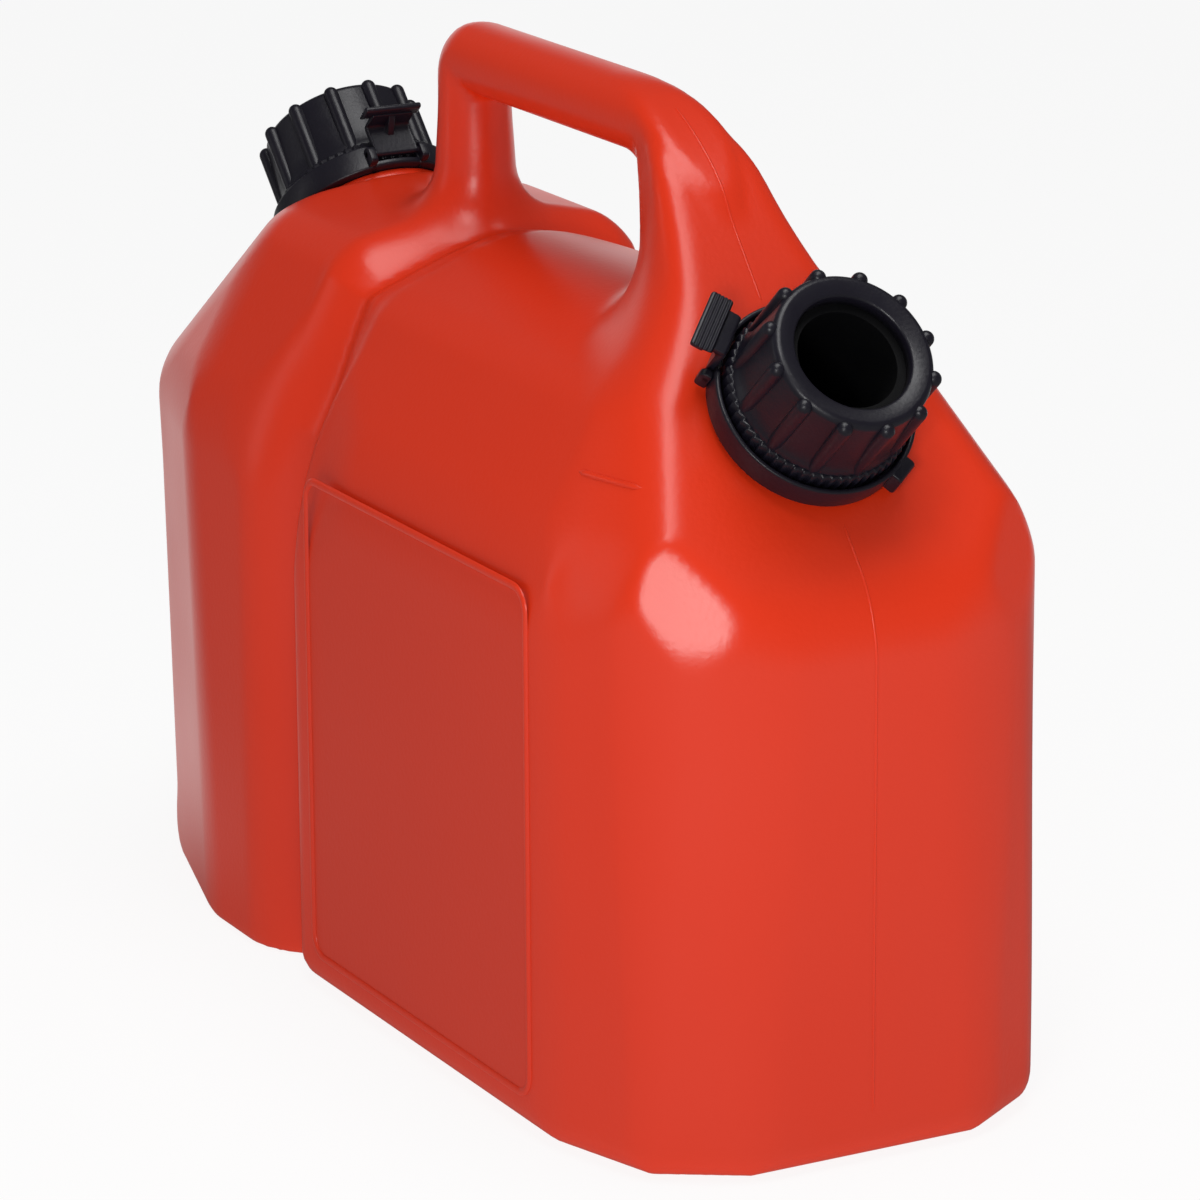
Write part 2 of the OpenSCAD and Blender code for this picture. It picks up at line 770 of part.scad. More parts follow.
module tip_cap(depth) {
    translate([0, 0, -depth - tip_cap_wall - rest_gap])
        difference() {
            cylinder(r = spout_tip_r + play + tip_cap_wall, h = tip_cap_len);
            translate([0, 0, tip_cap_wall])
                cylinder(r = spout_tip_r + play, h = tip_cap_len);
        }
}

module fuel_tip_cap() {
    color(dark)
        at_fuel_neck() tip_cap(fuel_spout_depth);
}

module oil_tip_cap() {
    color(dark)
        at_oil_neck() tip_cap(oil_spout_depth);
}

can_body();
fuel_collar();
fuel_lock_ring();
fuel_lock_lever();
fuel_gasket();
fuel_spout();
fuel_tip_cap();
oil_collar();
oil_lock_ring();
oil_lock_lever();
oil_gasket();
oil_spout();
oil_tip_cap();
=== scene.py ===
"""Combination fuel can: a red blow-moulded shell with two chambers, a loop handle and two
black screw closures with child locks. Sizes are in millimetres until a mesh is made; the floor,
the lamps and the camera are placed in metres."""
import json
import math

import bpy
import numpy as np
from mathutils import Matrix


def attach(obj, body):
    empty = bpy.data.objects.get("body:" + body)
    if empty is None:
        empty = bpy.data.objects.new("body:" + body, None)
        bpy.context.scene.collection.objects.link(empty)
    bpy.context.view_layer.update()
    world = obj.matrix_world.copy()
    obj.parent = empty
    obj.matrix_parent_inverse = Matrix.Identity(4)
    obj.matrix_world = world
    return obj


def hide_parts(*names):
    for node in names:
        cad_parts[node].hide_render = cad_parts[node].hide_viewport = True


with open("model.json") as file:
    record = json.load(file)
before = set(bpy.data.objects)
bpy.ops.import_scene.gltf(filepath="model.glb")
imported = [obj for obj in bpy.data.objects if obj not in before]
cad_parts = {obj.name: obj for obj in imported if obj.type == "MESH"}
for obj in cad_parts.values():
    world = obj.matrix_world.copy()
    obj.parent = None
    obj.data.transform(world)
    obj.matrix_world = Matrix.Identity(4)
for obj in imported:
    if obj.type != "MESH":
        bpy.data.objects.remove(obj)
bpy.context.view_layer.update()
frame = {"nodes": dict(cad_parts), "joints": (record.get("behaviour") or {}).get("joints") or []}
nodes = frame["nodes"]
MM = 0.001
TURN = 2 * math.pi

# Both chambers. A rounding of four numbers is a radius, its change, where the change starts and
# over what length
HALF_W, WALL, BASE_R = 81.0, 2.2, 11.0
SHOULDER_Z = 178.0
RIDGE_R, ROOF_UP = 20.0, 0.956

# Fuel chamber
FRONT_X, FUEL_REAR_X, FRONT_CORNER_R = 189.5, -43.7, 1.0
FRONT_SLOPE, FRONT_BREAK_Z = math.radians(49.5), 171.8
FUEL_TAPER_X, FUEL_TAPER, TAPER_EDGE_R = 132.0, math.radians(17.2), 3.0
CHAMFER_Y, CHAMFER = 40.0, math.radians(32.0)
CHAMFER_NORMAL = np.array([math.cos(CHAMFER), math.sin(CHAMFER), 0])
SHOULDER_SLOPE = math.radians(30.1)
ROOF_Z, ROOF_FALL, ROOF_EDGE_R = 244.0, 0.428, 5.0
HIP_POINT, HIP_NORMAL, HIP_EDGE_R = (155.0, 47.0, 209.0), np.array([0.648, 0.401, 0.647]), 15.0
CORNER_POINT, CORNER_LEAN, CORNER_EDGE = (180.2, 54.2, 162.0), 1.6, 1.5
BACK_CORNER = (8.0, 8.0, 185.0, 45.0)
CHAMFER_EDGE = (5.0, 4.0, 20.0, 120.0)
SLOPE_EDGE = (9.0, -2.0, 238.0, 24.0)
SHOULDER_EDGE = (10.0, 12.0, 0.0, 40.0)

# Oil chamber
OIL_FRONT_X, OIL_REAR_X, RIDGE_X = -51.7, -191.7, -120.5
OIL_INSET, OIL_OVERRUN, OIL_END_R, GROOVE_CORNER_R = 0.3, 70.0, 5.0, 30.0
OIL_TAPER, DRAFT, OIL_TAPER_EDGE_R = math.radians(15.4), 3.0, 2.5
OIL_SHOULDER_SLOPE = math.radians(27.2)
REAR_SLOPE, REAR_BREAK_Z = math.radians(44.5), 178.5
OIL_ROOF_Z, OIL_ROOF_FALL, OIL_ROOF_EDGE_R, OIL_TOP_EDGE_R = 246.5, 0.25, 5.0, 7.0
REAR_HIP_CUT, OIL_REAR_BASE_R = 5.0, 21.0
OIL_REAR_EDGE, OIL_REAR_EDGE_TOP = (4.0, 13.0, 2.0, 25.0), (-3.0, 140.0, 30.0)
OIL_SHOULDER_EDGE = (7.0, 7.0, -95.0, 35.0)

# Web between the chambers
WEB_X, WEB_HALF, WEB_W, WEB_FOOT_Z, WEB_DROP = -47.7, 8.0, 66.0, 9.0, 6.0
WEB_SHOULDER_Z, WEB_SHOULDER_NORMAL = 180.0, (0.93, 0.37)
CHAMBER_FILLET, WEB_FILLET = 4.0, (6.0, 6.0, 180.0, 40.0)

# Handle; a flare is a half width, where it is taken and how much it grows in a millimetre
HANDLE_TOP, HANDLE_FRONT_R = 307.0, 28.0
GRIP_R, GRIP_END_X, GRIP_END_Z = 11.9, 95.0, 225.0
REAR_LEG_X, REAR_LEG_R, BEND_R, REAR_LEG_SWELL_Z, REAR_LEG_SWELL_H = -65.4, 13.2, 7.0, 283.0, 30.0
LEG_TOP_FLARE, LEG_FOOT_FLARE, LEG_FLARE_BLEND = (15.0, 301.0, -0.18), (22.0, 262.0, -0.533), 6.0
LEG_REAR_HALF, LEG_PLAN_FLARE, LEG_PLAN_BLEND = 10.5, (16.0, 76.0, 0.714), 10.0
LEG_SIDE_LEAN, LEG_PLAN_LEAN = 0.93, 0.81
GAP_FRONT_X, GAP_FRONT_Z, GAP_FRONT_NORMAL = 58.5, 283.0, (0.938, 0.346)
LEG_SIDE_R, LEG_REAR_R, LEG_FOOT_R, LEG_DROP = 8.0, 9.0, 20.0, 7.0
GRIP_FILLET, GRIP_FILLET_CUT = 14.0, 12.0
FILLET_CUT_X, FILLET_CUT_Y, FILLET_CUT_Z = (20.0, 20.0), (3.0, 8.0), (293.0, 8.0)
FRONT_SKIN, FRONT_SKIN_BLEND = 0.8, 4.0

# Skins of the moulding: box, size of a grid cell and hole at a neck
SHELL_BOX, SHELL_PITCH, SHELL_HOLE_R = ((-196, -85, -3), (196, 85, 311)), 2.3, 20.2
LINING_BOX, LINING_PITCH, LINING_HOLE_R = ((-194, -83, -1), (194, 83, 309)), 5.5, 20.0
HOLE_REACH = 9.0
SLIDES, LEAST_SLOPE, HALVINGS = 4, 0.2, 30

# Side panel and fill line on the left side of the fuel chamber, and the seam in front.
# A bead is a half width and a height
PANEL_X, PANEL_Z, PANEL_R, PANEL_BEAD = (-27.8, 123.0), (13.4, 172.6), 7.0, (1.3, 0.9)
PANEL_DEPTH, PANEL_FADE = 1.0, 1.5
FILL_X, FILL_Z, FILL_Y, FILL_BEAD = (124.0, 151.5), 207.4, (-30.0, -95.0), (0.9, 0.7)
SEAM_Z, SEAM_IN, SEAM_OUT, SEAM_BEAD = ((14.0, 196.0), (250.0, 301.0)), 22.0, 8.0, (0.5, 0.28)
BEAD_POINTS, BEAD_SINK, BEAD_END = 9, 0.15, (-0.2, 3.0)
FILL_STEPS, SEAM_STEPS = 24, 90

# Closures, in the frame of a neck: r from its axis, z above the slope
SCREW_Z = 25.0
NECK_R, NECK_BORE_R, NECK_H, NECK_LIP, NECK_ROOT = 21.7, 18.5, 27.4, 0.6, -6.0
SEAT_R, SEAT_H, SEAT_EDGE, SEAT_FOOT = 29.0, 1.0, 0.4, -1.5
THREAD_PITCH, THREAD_DEPTH, THREAD_HALF, THREAD_STEEP = 4.0, 1.5, 1.1, 1.6
THREAD_AT, THREAD_Z = 12.2, (12.0, 24.5)
COLLAR_TOP, COLLAR_UNDER, COLLAR_HOLE_R, COLLAR_BORE_R = 38.55, 33.15, 18.4, 23.8
COLLAR_TOP_R, COLLAR_FOOT_R, COLLAR_ROUND, COLLAR_FOOT_Z = 25.5, 26.8, 2.3, 8.0
HOLE_LIP = ((0.0, 1.9), (0.25, 1.3), (0.9, 1.0))
RIB_COUNT, RIB_R, RIB_OUT, RIB_TIP_R = 12, 2.5, 0.3, 0.02
SKIRT_TOP, SKIRT_Z = 13.6, 5.2
TOOTH_COUNT, TOOTH_R, TOOTH_DEPTH, TOOTH_POINTS, TOOTH_EDGE = 60, 29.4, 1.2, 8, 0.5
RING_R, RING_WALL, RING_Z, RING_H, RING_FLOOR, RING_CLEAR = 32.0, 1.6, 1.1, 9.0, 2.2, 0.35
STRIP_LAP = 0.05
ARM_IN, ARM_T, ARM_W, ARM_LAP = 30.7, 2.4, 15.0, 1.2
PIVOT_R_AT, PIVOT_Z, PIVOT_PIN_R = 31.9, 5.6, 1.2
EAR_T, EAR_GAP, EAR_WALL, EAR_TOP = 2.6, 0.7, 1.2, 2.3
LEDGE_R, LEDGE_LEN, LEDGE_W, LEDGE_T, LEDGE_TOP = 38.5, 20.4, 7.1, 2.2, 18.2
GROOVE_COUNT, GROOVE_DEPTH = 5, 0.32
GUSSET_T, GUSSET_H = 2.2, 5.0
PAWL_LEN, PAWL_Z, PAWL_R = 7.0, (10.9, 12.9), 0.3
LUG_TURN, LUG_LEN, LUG_OUT = 167, 9.0, 3.2
CLOCKS = {"fuel": (4, 230), "oil": (6, 0)}


def joint(name):
    """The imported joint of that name."""
    return next(j for j in frame["joints"] if j["name"] == name)


def unit(v):
    """A direction of length one."""
    v = np.array(v, float)
    return v / np.linalg.norm(v)


def unit_rows(v):
    """Rows of directions of length one."""
    return v / np.linalg.norm(v, axis=1, keepdims=True)


def neck_frame(side):
    """(foot, 3 x 3 axes) of a neck in millimetres: z is the way its collar lifts, y is the can's
    own y, and the foot lies SCREW_Z down the axis from where the collar's turn is stated."""
    ez = unit(joint(side + "_lift")["axis"])
    foot = np.array(joint(side + "_screw")["pos_m"], float) / MM - SCREW_Z * ez
    ey = np.array([0.0, 1.0, 0.0])
    return foot, np.stack([np.cross(ey, ez), ey, ez])


NECKS = {side: neck_frame(side) for side in ("fuel", "oil")}


# Meshes
def add_piece(name, parts, material, body, replaces=()):
    """One object at the origin, shaded smooth and riding on a body. A part is its points in mm
    and one or more blocks of faces, each block with one number of corners."""
    points, faces, start = [], [], 0
    for p, *blocks in parts:
        p = p.reshape(-1, 3)
        points.append(p)
        for block in blocks:
            faces += (block + start).tolist()
        start += len(p)
    mesh = bpy.data.meshes.new(name)
    mesh.from_pydata((np.concatenate(points) * MM).tolist(), [], faces)
    mesh.validate()
    mesh.polygons.foreach_set("use_smooth", [True] * len(mesh.polygons))
    mesh.update()
    piece = bpy.data.objects.new(name, mesh)
    bpy.context.scene.collection.objects.link(piece)
    mesh.materials.append(material)
    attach(piece, body)
    if replaces:
        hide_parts(*replaces)


def grid_faces(rows, cols, close_rows=False, close_cols=False):
    """Quads between neighbouring rows and columns of a grid, wrapped where it closes."""
    i = np.arange(rows if close_rows else rows - 1)[:, None]
    j = np.arange(cols if close_cols else cols - 1)[None, :]
    a = i * cols + j
    b = i * cols + (j + 1) % cols
    c = (i + 1) % rows * cols + (j + 1) % cols
    d = (i + 1) % rows * cols + j
    return np.stack([a, b, c, d], -1).reshape(-1, 4)


def in_neck(side, r, q, z):
    """Points at radius r, angle q and height z round a neck, in the can's frame."""
    foot, axes = NECKS[side]
    local = np.stack(np.broadcast_arrays(r * np.cos(q), r * np.sin(q), z), -1)
    return foot + local @ axes


def at_neck(side, turn, p):
    """Points [radial, tangential, up] turned by an angle in degrees round a neck."""
    foot, axes = NECKS[side]
    c, s = math.cos(math.radians(turn)), math.sin(math.radians(turn))
    x, y, z = p[..., 0], p[..., 1], p[..., 2]
    return foot + np.stack([c * x - s * y, s * x + c * y, z], -1) @ axes


def rounded_outline(corners, n):
    """A closed outline with each corner [x, y, radius] replaced by an arc of n steps that meets
    both its edges: the arc's middle lies on the corner's bisector, at radius / sin(half angle)
    from the corner."""
    p = np.array(corners, float)
    b, r = p[:, :2], p[:, 2]
    u = unit_rows(np.roll(b, 1, 0) - b)
    w = unit_rows(np.roll(b, -1, 0) - b)
    half = np.arccos(np.clip((u * w).sum(1), -1, 1)) / 2
    centre = b + unit_rows(u + w) * (r / np.sin(half))[:, None]
    start = b + u * (r / np.tan(half))[:, None] - centre
    way = np.sign(w[:, 0] * -u[:, 1] + w[:, 1] * u[:, 0])
    turn = -way[:, None] * (math.pi - 2 * half)[:, None] * np.linspace(0, 1, n + 1)
    c, s = np.cos(turn), np.sin(turn)
    x = start[:, :1] * c - start[:, 1:] * s
    y = start[:, :1] * s + start[:, 1:] * c
    return (np.stack([x, y], -1) + centre[:, None]).reshape(-1, 2)


def rounded_box(x, y, radii, n):
    """A rounded outline of a box x[0]..x[1], y[0]..y[1], with its radii from the corner of both
    low ends round by high x."""
    places = ((x[0], y[0]), (x[1], y[0]), (x[1], y[1]), (x[0], y[1]))
    return rounded_outline([[*place, r] for place, r in zip(places, radii)], n)


def capped_sweep(sections):
    """A closed outline carried along stations (stations x points x 3), closed by flat end caps."""
    s, n = sections.shape[:2]
    loop = np.arange(n)[None]
    return sections, grid_faces(s, n, close_cols=True), loop[:, ::-1], loop + (s - 1) * n


def bar_at_neck(side, turn, outline, length, crown, shift=0.0):
    """An outline [radial, up] carried along the tangent from -length/2 to length/2, shifted, and
    turned round a neck. Near both ends it is drawn in towards its middle by the crown in a
    quarter circle, so the end edges are rounded."""
    q = np.linspace(0, math.pi / 2, 4)
    from_sin, from_cos = crown * (1 - np.sin(q)), crown * (1 - np.cos(q))
    inset = np.concatenate([from_sin, from_cos])
    t = np.concatenate([-length / 2 + from_cos, length / 2 - from_sin]) + shift
    middle = outline.mean(0)
    reach = np.abs(outline - middle).max(0)
    scale = 1 - inset[:, None] / reach
    ab = middle + (outline - middle)[None] * scale[:, None, :]
    along = np.broadcast_to(t[:, None], ab.shape[:2])
    return capped_sweep(at_neck(side, turn, np.stack([ab[..., 0], along, ab[..., 1]], -1)))


# Solid forms of the moulding, as distances from their surfaces
def round_max(a, b, r):
    """Where two solids overlap, with the edge between them rounded by r."""
    return np.minimum(-r, np.maximum(a, b)) + np.hypot(np.maximum(a + r, 0), np.maximum(b + r, 0))


def round_min(a, b, r):
    """Two solids joined, with a fillet of r between them."""
    return np.maximum(r, np.minimum(a, b)) - np.hypot(np.maximum(r - a, 0), np.maximum(r - b, 0))


def soft_max(a, b, k):
    """The larger of two distances, eased over a width k."""
    h = np.maximum(k - np.abs(a - b), 0) / k
    return np.maximum(a, b) + h * h * k / 4


def rise(v, start, length):
    """0 below start, 1 past start + length and a smooth climb between."""
    t = np.clip((v - start) / length, 0, 1)
    return t * t * (3 - 2 * t)


def varied(v, radius, change, start, length):
    """A radius that changes smoothly by an amount while v goes from start over a length."""
    return radius + change * rise(v, start, length)


def flared(v, half, at, growth):
    """A half width that is half at a place and grows along v."""
    return half + (v - at) * growth


def plan_form(x, ay, x0, x1, half, r0, r1):
    """Distance to a rectangle x0..x1, -half..half with corner radius r0 at x0 and r1 at x1."""
    middle, reach = (x0 + x1) / 2, (x1 - x0) / 2
    r = np.where(x > middle, r1, r0)
    qx, qy = np.abs(x - middle) - reach + r, ay - half + r
    return np.minimum(np.maximum(qx, qy), 0) + np.hypot(np.maximum(qx, 0), np.maximum(qy, 0)) - r


def shoulder_form(across, z, lean):
    """Distance to a shoulder that leans in from the side at SHOULDER_Z."""
    return across * math.cos(lean) + (z - SHOULDER_Z) * math.sin(lean)


def roof_form(y, z, top, fall):
    """Distance to a roof that falls to both sides of a rounded ridge."""
    return (z - top) * ROOF_UP + (np.sqrt(y * y + RIDGE_R ** 2) - RIDGE_R) * fall


def plane_form(x, ay, z, point, normal):
    """Distance to a plane through a point, mirrored to both sides."""
    return (x - point[0]) * normal[0] + (ay - point[1]) * normal[1] + (z - point[2]) * normal[2]


def front_cap(x, z):
    """Distance to the front slope and the top of the handle, with a large round between them."""
    slope = (x - FRONT_X) * math.sin(FRONT_SLOPE) + (z - FRONT_BREAK_Z) * math.cos(FRONT_SLOPE)
    return round_max(slope, z - HANDLE_TOP, HANDLE_FRONT_R)


def grip_form(x, y, z):
    """Grip and rear leg: a tube round a centre line that runs along the grip, bends down with
    BEND_R and ends in the roof; it thickens a little down the leg."""
    out = round_max(REAR_LEG_X - x, z - HANDLE_TOP + GRIP_R, BEND_R)
    radius = varied(REAR_LEG_SWELL_Z - z, GRIP_R, REAR_LEG_R - GRIP_R, 0, REAR_LEG_SWELL_H)
    tube = np.hypot(out, y) - radius
    return np.maximum(np.maximum(tube, GRIP_END_Z - z), x - GRIP_END_X)


def front_leg_form(x, ay, z):
    """Front leg of the handle: sides that flare downwards and forwards, a leaning rear face and a
    flat top under the grip."""
    half = soft_max(flared(z, *LEG_TOP_FLARE), flared(z, *LEG_FOOT_FLARE), LEG_FLARE_BLEND)
    plan_half = soft_max(LEG_REAR_HALF, flared(x, *LEG_PLAN_FLARE), LEG_PLAN_BLEND)
    sides = round_max((ay - half) * LEG_SIDE_LEAN, (ay - plan_half) * LEG_PLAN_LEAN, LEG_SIDE_R)
    rear = -((x - GAP_FRONT_X) * GAP_FRONT_NORMAL[0] + (z - GAP_FRONT_Z) * GAP_FRONT_NORMAL[1])
    return np.maximum(round_max(sides, rear, LEG_REAR_R), z - HANDLE_TOP + LEG_DROP)


def fuel_form(x, y, z):
    """Fuel chamber: sides that taper to the front, chamfered corners with a facet on top,
    shoulders, roof, hips and the front leg of the handle under the front slope."""
    ay = np.abs(y)
    tapered = (ay - HALF_W) * math.cos(FUEL_TAPER) + (x - FUEL_TAPER_X) * math.sin(FUEL_TAPER)
    chamfer = plane_form(x, ay, z, (FRONT_X, CHAMFER_Y, 0), CHAMFER_NORMAL)
    plan = plan_form(x, ay, FUEL_REAR_X, FRONT_X, HALF_W, varied(z, *BACK_CORNER), FRONT_CORNER_R)
    plan = round_max(round_max(plan, tapered, TAPER_EDGE_R), chamfer, varied(z, *CHAMFER_EDGE))
    hip = plane_form(x, ay, z, HIP_POINT, HIP_NORMAL)
    shoulders = round_max(shoulder_form(ay - HALF_W, z, SHOULDER_SLOPE),
                          shoulder_form(tapered, z, SHOULDER_SLOPE), TAPER_EDGE_R)
    roof = roof_form(y, z, ROOF_Z, ROOF_FALL)
    top = round_max(round_max(shoulders, roof, ROOF_EDGE_R), hip, HIP_EDGE_R)
    upper = round_min(top, front_leg_form(x, ay, z), LEG_FOOT_R)
    form = round_max(upper, front_cap(x, z), varied(z, *SLOPE_EDGE))
    form = round_max(form, plan, varied(-x, *SHOULDER_EDGE))
    facet = plane_form(x, ay, z, CORNER_POINT, unit(HIP_NORMAL + CORNER_LEAN * CHAMFER_NORMAL))
    return round_max(soft_max(form, facet, CORNER_EDGE), -z, BASE_R)


def oil_form(x, y, z):
    """Oil chamber: straight sides that taper to the rear, shoulders, roof, hips and rear slope."""
    ay = np.abs(y)
    foot = NECKS["oil"][0]
    lean = OIL_SHOULDER_SLOPE
    tapered = (ay - HALF_W) * math.cos(OIL_TAPER) + (RIDGE_X - x) * math.sin(OIL_TAPER)
    plan = plan_form(x, ay, OIL_REAR_X - OIL_OVERRUN, OIL_FRONT_X, HALF_W - OIL_INSET,
                     OIL_END_R, GROOVE_CORNER_R)
    sides = round_max(plan, tapered + DRAFT * (1 - z / SHOULDER_Z), OIL_TAPER_EDGE_R)
    shoulders = round_max(shoulder_form(ay - HALF_W + OIL_INSET, z, lean),
                          shoulder_form(tapered, z, lean), OIL_TAPER_EDGE_R)
    slope = (OIL_REAR_X - x) * math.sin(REAR_SLOPE) + (z - REAR_BREAK_Z) * math.cos(REAR_SLOPE)
    drawn_in = (RIDGE_X - foot[0]) * math.tan(OIL_TAPER) + (foot[2] - SHOULDER_Z) * math.tan(lean)
    hip_normal = unit([-math.sin(REAR_SLOPE) - math.sin(OIL_TAPER) * math.cos(lean),
                       math.cos(OIL_TAPER) * math.cos(lean), math.cos(REAR_SLOPE) + math.sin(lean)])
    hip = plane_form(x, ay, z, (foot[0], HALF_W - drawn_in, foot[2]), hip_normal) + REAR_HIP_CUT
    roof = round_max(roof_form(y, z, OIL_ROOF_Z, OIL_ROOF_FALL), slope, OIL_ROOF_EDGE_R)
    top = round_max(round_max(shoulders, roof, OIL_TOP_EDGE_R), hip, OIL_TOP_EDGE_R)
    rear = round_max(OIL_REAR_X - x, -z, OIL_REAR_BASE_R)
    rear_edge = varied(z, varied(z, *OIL_REAR_EDGE), *OIL_REAR_EDGE_TOP)
    return round_max(round_max(top, sides, varied(x, *OIL_SHOULDER_EDGE)), rear, rear_edge)


def web_form(x, y, z):
    """The pinched web that joins the chambers: a slab with leaning shoulders under the roof."""
    ay = np.abs(y)
    web = np.maximum(ay - WEB_W, (ay - WEB_W) * WEB_SHOULDER_NORMAL[0]
                     + (z - WEB_SHOULDER_Z) * WEB_SHOULDER_NORMAL[1])
    web = np.maximum(web, roof_form(y, z, ROOF_Z - WEB_DROP, ROOF_FALL))
    return np.maximum(np.maximum(web, WEB_FOOT_Z - z), np.abs(x - WEB_X) - WEB_HALF)


def can_form(x, y, z):
    """The whole moulding: both chambers, the web and the handle, whose fillet is small beside and
    on top of its front leg."""
    chambers = round_min(fuel_form(x, y, z), oil_form(x, y, z), CHAMBER_FILLET)
    chambers = round_min(chambers, web_form(x, y, z), varied(z, *WEB_FILLET))
    outer_leg = np.maximum(rise(np.abs(y), *FILLET_CUT_Y), rise(z, *FILLET_CUT_Z))
    fillet = GRIP_FILLET - GRIP_FILLET_CUT * rise(x, *FILLET_CUT_X) * outer_leg
    joined = round_min(chambers, grip_form(x, y, z), fillet)
    return soft_max(joined, front_cap(x, z) - FRONT_SKIN, FRONT_SKIN_BLEND)


def lining_form(x, y, z):
    """Inside of the moulding's wall."""
    return can_form(x, y, z) + WALL


def gradient(form, p, step=0.05):
    """Slope of a distance at points, from differences along each axis."""
    out = []
    for d in step * np.eye(3):
        out.append(form(*(p + d).T) - form(*(p - d).T))
    return np.stack(out, -1) / (2 * step)


def stepped_back(at, axes, back):
    """Cells that lie back along two axes from the grid edges at some places."""
    cells = at.copy()
    cells[:, axes] -= back
    return cells


def skin(form, low, high, pitch):
    """The zero surface of a distance. Each cell of a grid that the surface crosses gets one point,
    the mean of the crossings on its edges, and each crossed grid edge joins its four cells by a
    quad. The points are then slid along the slope until the distance is zero."""
    axes = [np.arange(a, b + pitch, pitch) for a, b in zip(low, high)]
    f = form(axes[0][:, None, None], axes[1][None, :, None], axes[2][None, None, :])
    inside = f < 0
    size = np.array(f.shape) - 1
    total, count, cell = np.zeros([*size, 3]), np.zeros(size), np.full(size, -1)
    edges, quads = [], []
    for axis in range(3):
        near, far = [slice(None)] * 3, [slice(None)] * 3
        near[axis], far[axis] = slice(0, -1), slice(1, None)
        crossed = inside[tuple(near)] != inside[tuple(far)]
        at = np.argwhere(crossed)
        fa, fb = f[tuple(near)][crossed], f[tuple(far)][crossed]
        place = at.astype(float)
        place[:, axis] += fa / (fa - fb)
        others = [k for k in range(3) if k != axis]
        for back in ((0, 0), (0, 1), (1, 0), (1, 1)):
            c = stepped_back(at, others, back)
            ok = ((c >= 0) & (c < size)).all(1)
            np.add.at(total, tuple(c[ok].T), place[ok])
            np.add.at(count, tuple(c[ok].T), 1)
        edges.append((axis, others, at, fa < 0))
    used = count > 0
    cell[used] = np.arange(used.sum())
    origin = np.array([a[0] for a in axes])
    p = origin + total[used] / count[used][:, None] * pitch
    for axis, others, at, out_is_far in edges:
        ring = [np.clip(stepped_back(at, others, back), 0, size - 1)
                for back in ((0, 0), (1, 0), (1, 1), (0, 1))]
        quad = np.stack([cell[tuple(c.T)] for c in ring], -1)
        flip = out_is_far if axis == 1 else ~out_is_far
        quad[flip] = quad[flip][:, ::-1]
        quads.append(quad)
    for _ in range(SLIDES):
        g = gradient(form, p)
        d = np.clip(form(*p.T), -pitch, pitch)
        p = p - d[:, None] * g / np.maximum((g * g).sum(1), LEAST_SLOPE)[:, None]
    return p, np.concatenate(quads)


def outside_necks(p, quads, radius):
    """The quads whose middle isn't within a radius of a neck's axis, near its slope."""
    middle = p[quads].mean(1)
    keep = np.ones(len(quads), bool)
    for foot, axes in NECKS.values():
        x, y, z = ((middle - foot) @ axes.T).T
        keep &= ~((np.hypot(x, y) < radius) & (np.abs(z) < HOLE_REACH))
    return quads[keep]


def used_only(p, quads):
    """Points and quads without the points that no quad uses."""
    used = np.unique(quads)
    index = np.full(len(p), -1)
    index[used] = np.arange(len(used))
    return p[used], index[quads]


# Materials
def srgb(r, g, b):
    """A colour from 0-255 display values, as linear light."""
    c = np.array([r, g, b]) / 255
    return tuple(np.where(c <= 0.04045, c / 12.92, ((c + 0.055) / 1.055) ** 2.4)) + (1.0,)


def node(tree, kind, at, **values):
    """A shader node at a place in its tree: in_ and a number set that socket, other names set
    properties."""
    made = tree.nodes.new(kind)
    made.location = at
    for key, value in values.items():
        if key.startswith("in_"):
            made.inputs[int(key[3:])].default_value = value
        else:
            setattr(made, key, value)
    return made


def smooth_step(tree, source, at, start, end, low=0.0, high=1.0):
    """A smooth climb from low to high while a value goes from start to end."""
    step = node(tree, "ShaderNodeMapRange", at, interpolation_type="SMOOTHSTEP",
                in_1=start, in_2=end, in_3=low, in_4=high)
    tree.links.new(source, step.inputs[0])
    return step.outputs[0]


def joined_by(tree, operation, values, at):
    """Two or more values joined one after the other by an operation."""
    so_far = values[0]
    for k, value in enumerate(values[1:]):
        join = node(tree, "ShaderNodeMath", (at[0] + 200 * k, at[1]), operation=operation)
        tree.links.new(so_far, join.inputs[0])
        tree.links.new(value, join.inputs[1])
        so_far = join.outputs[0]
    return so_far


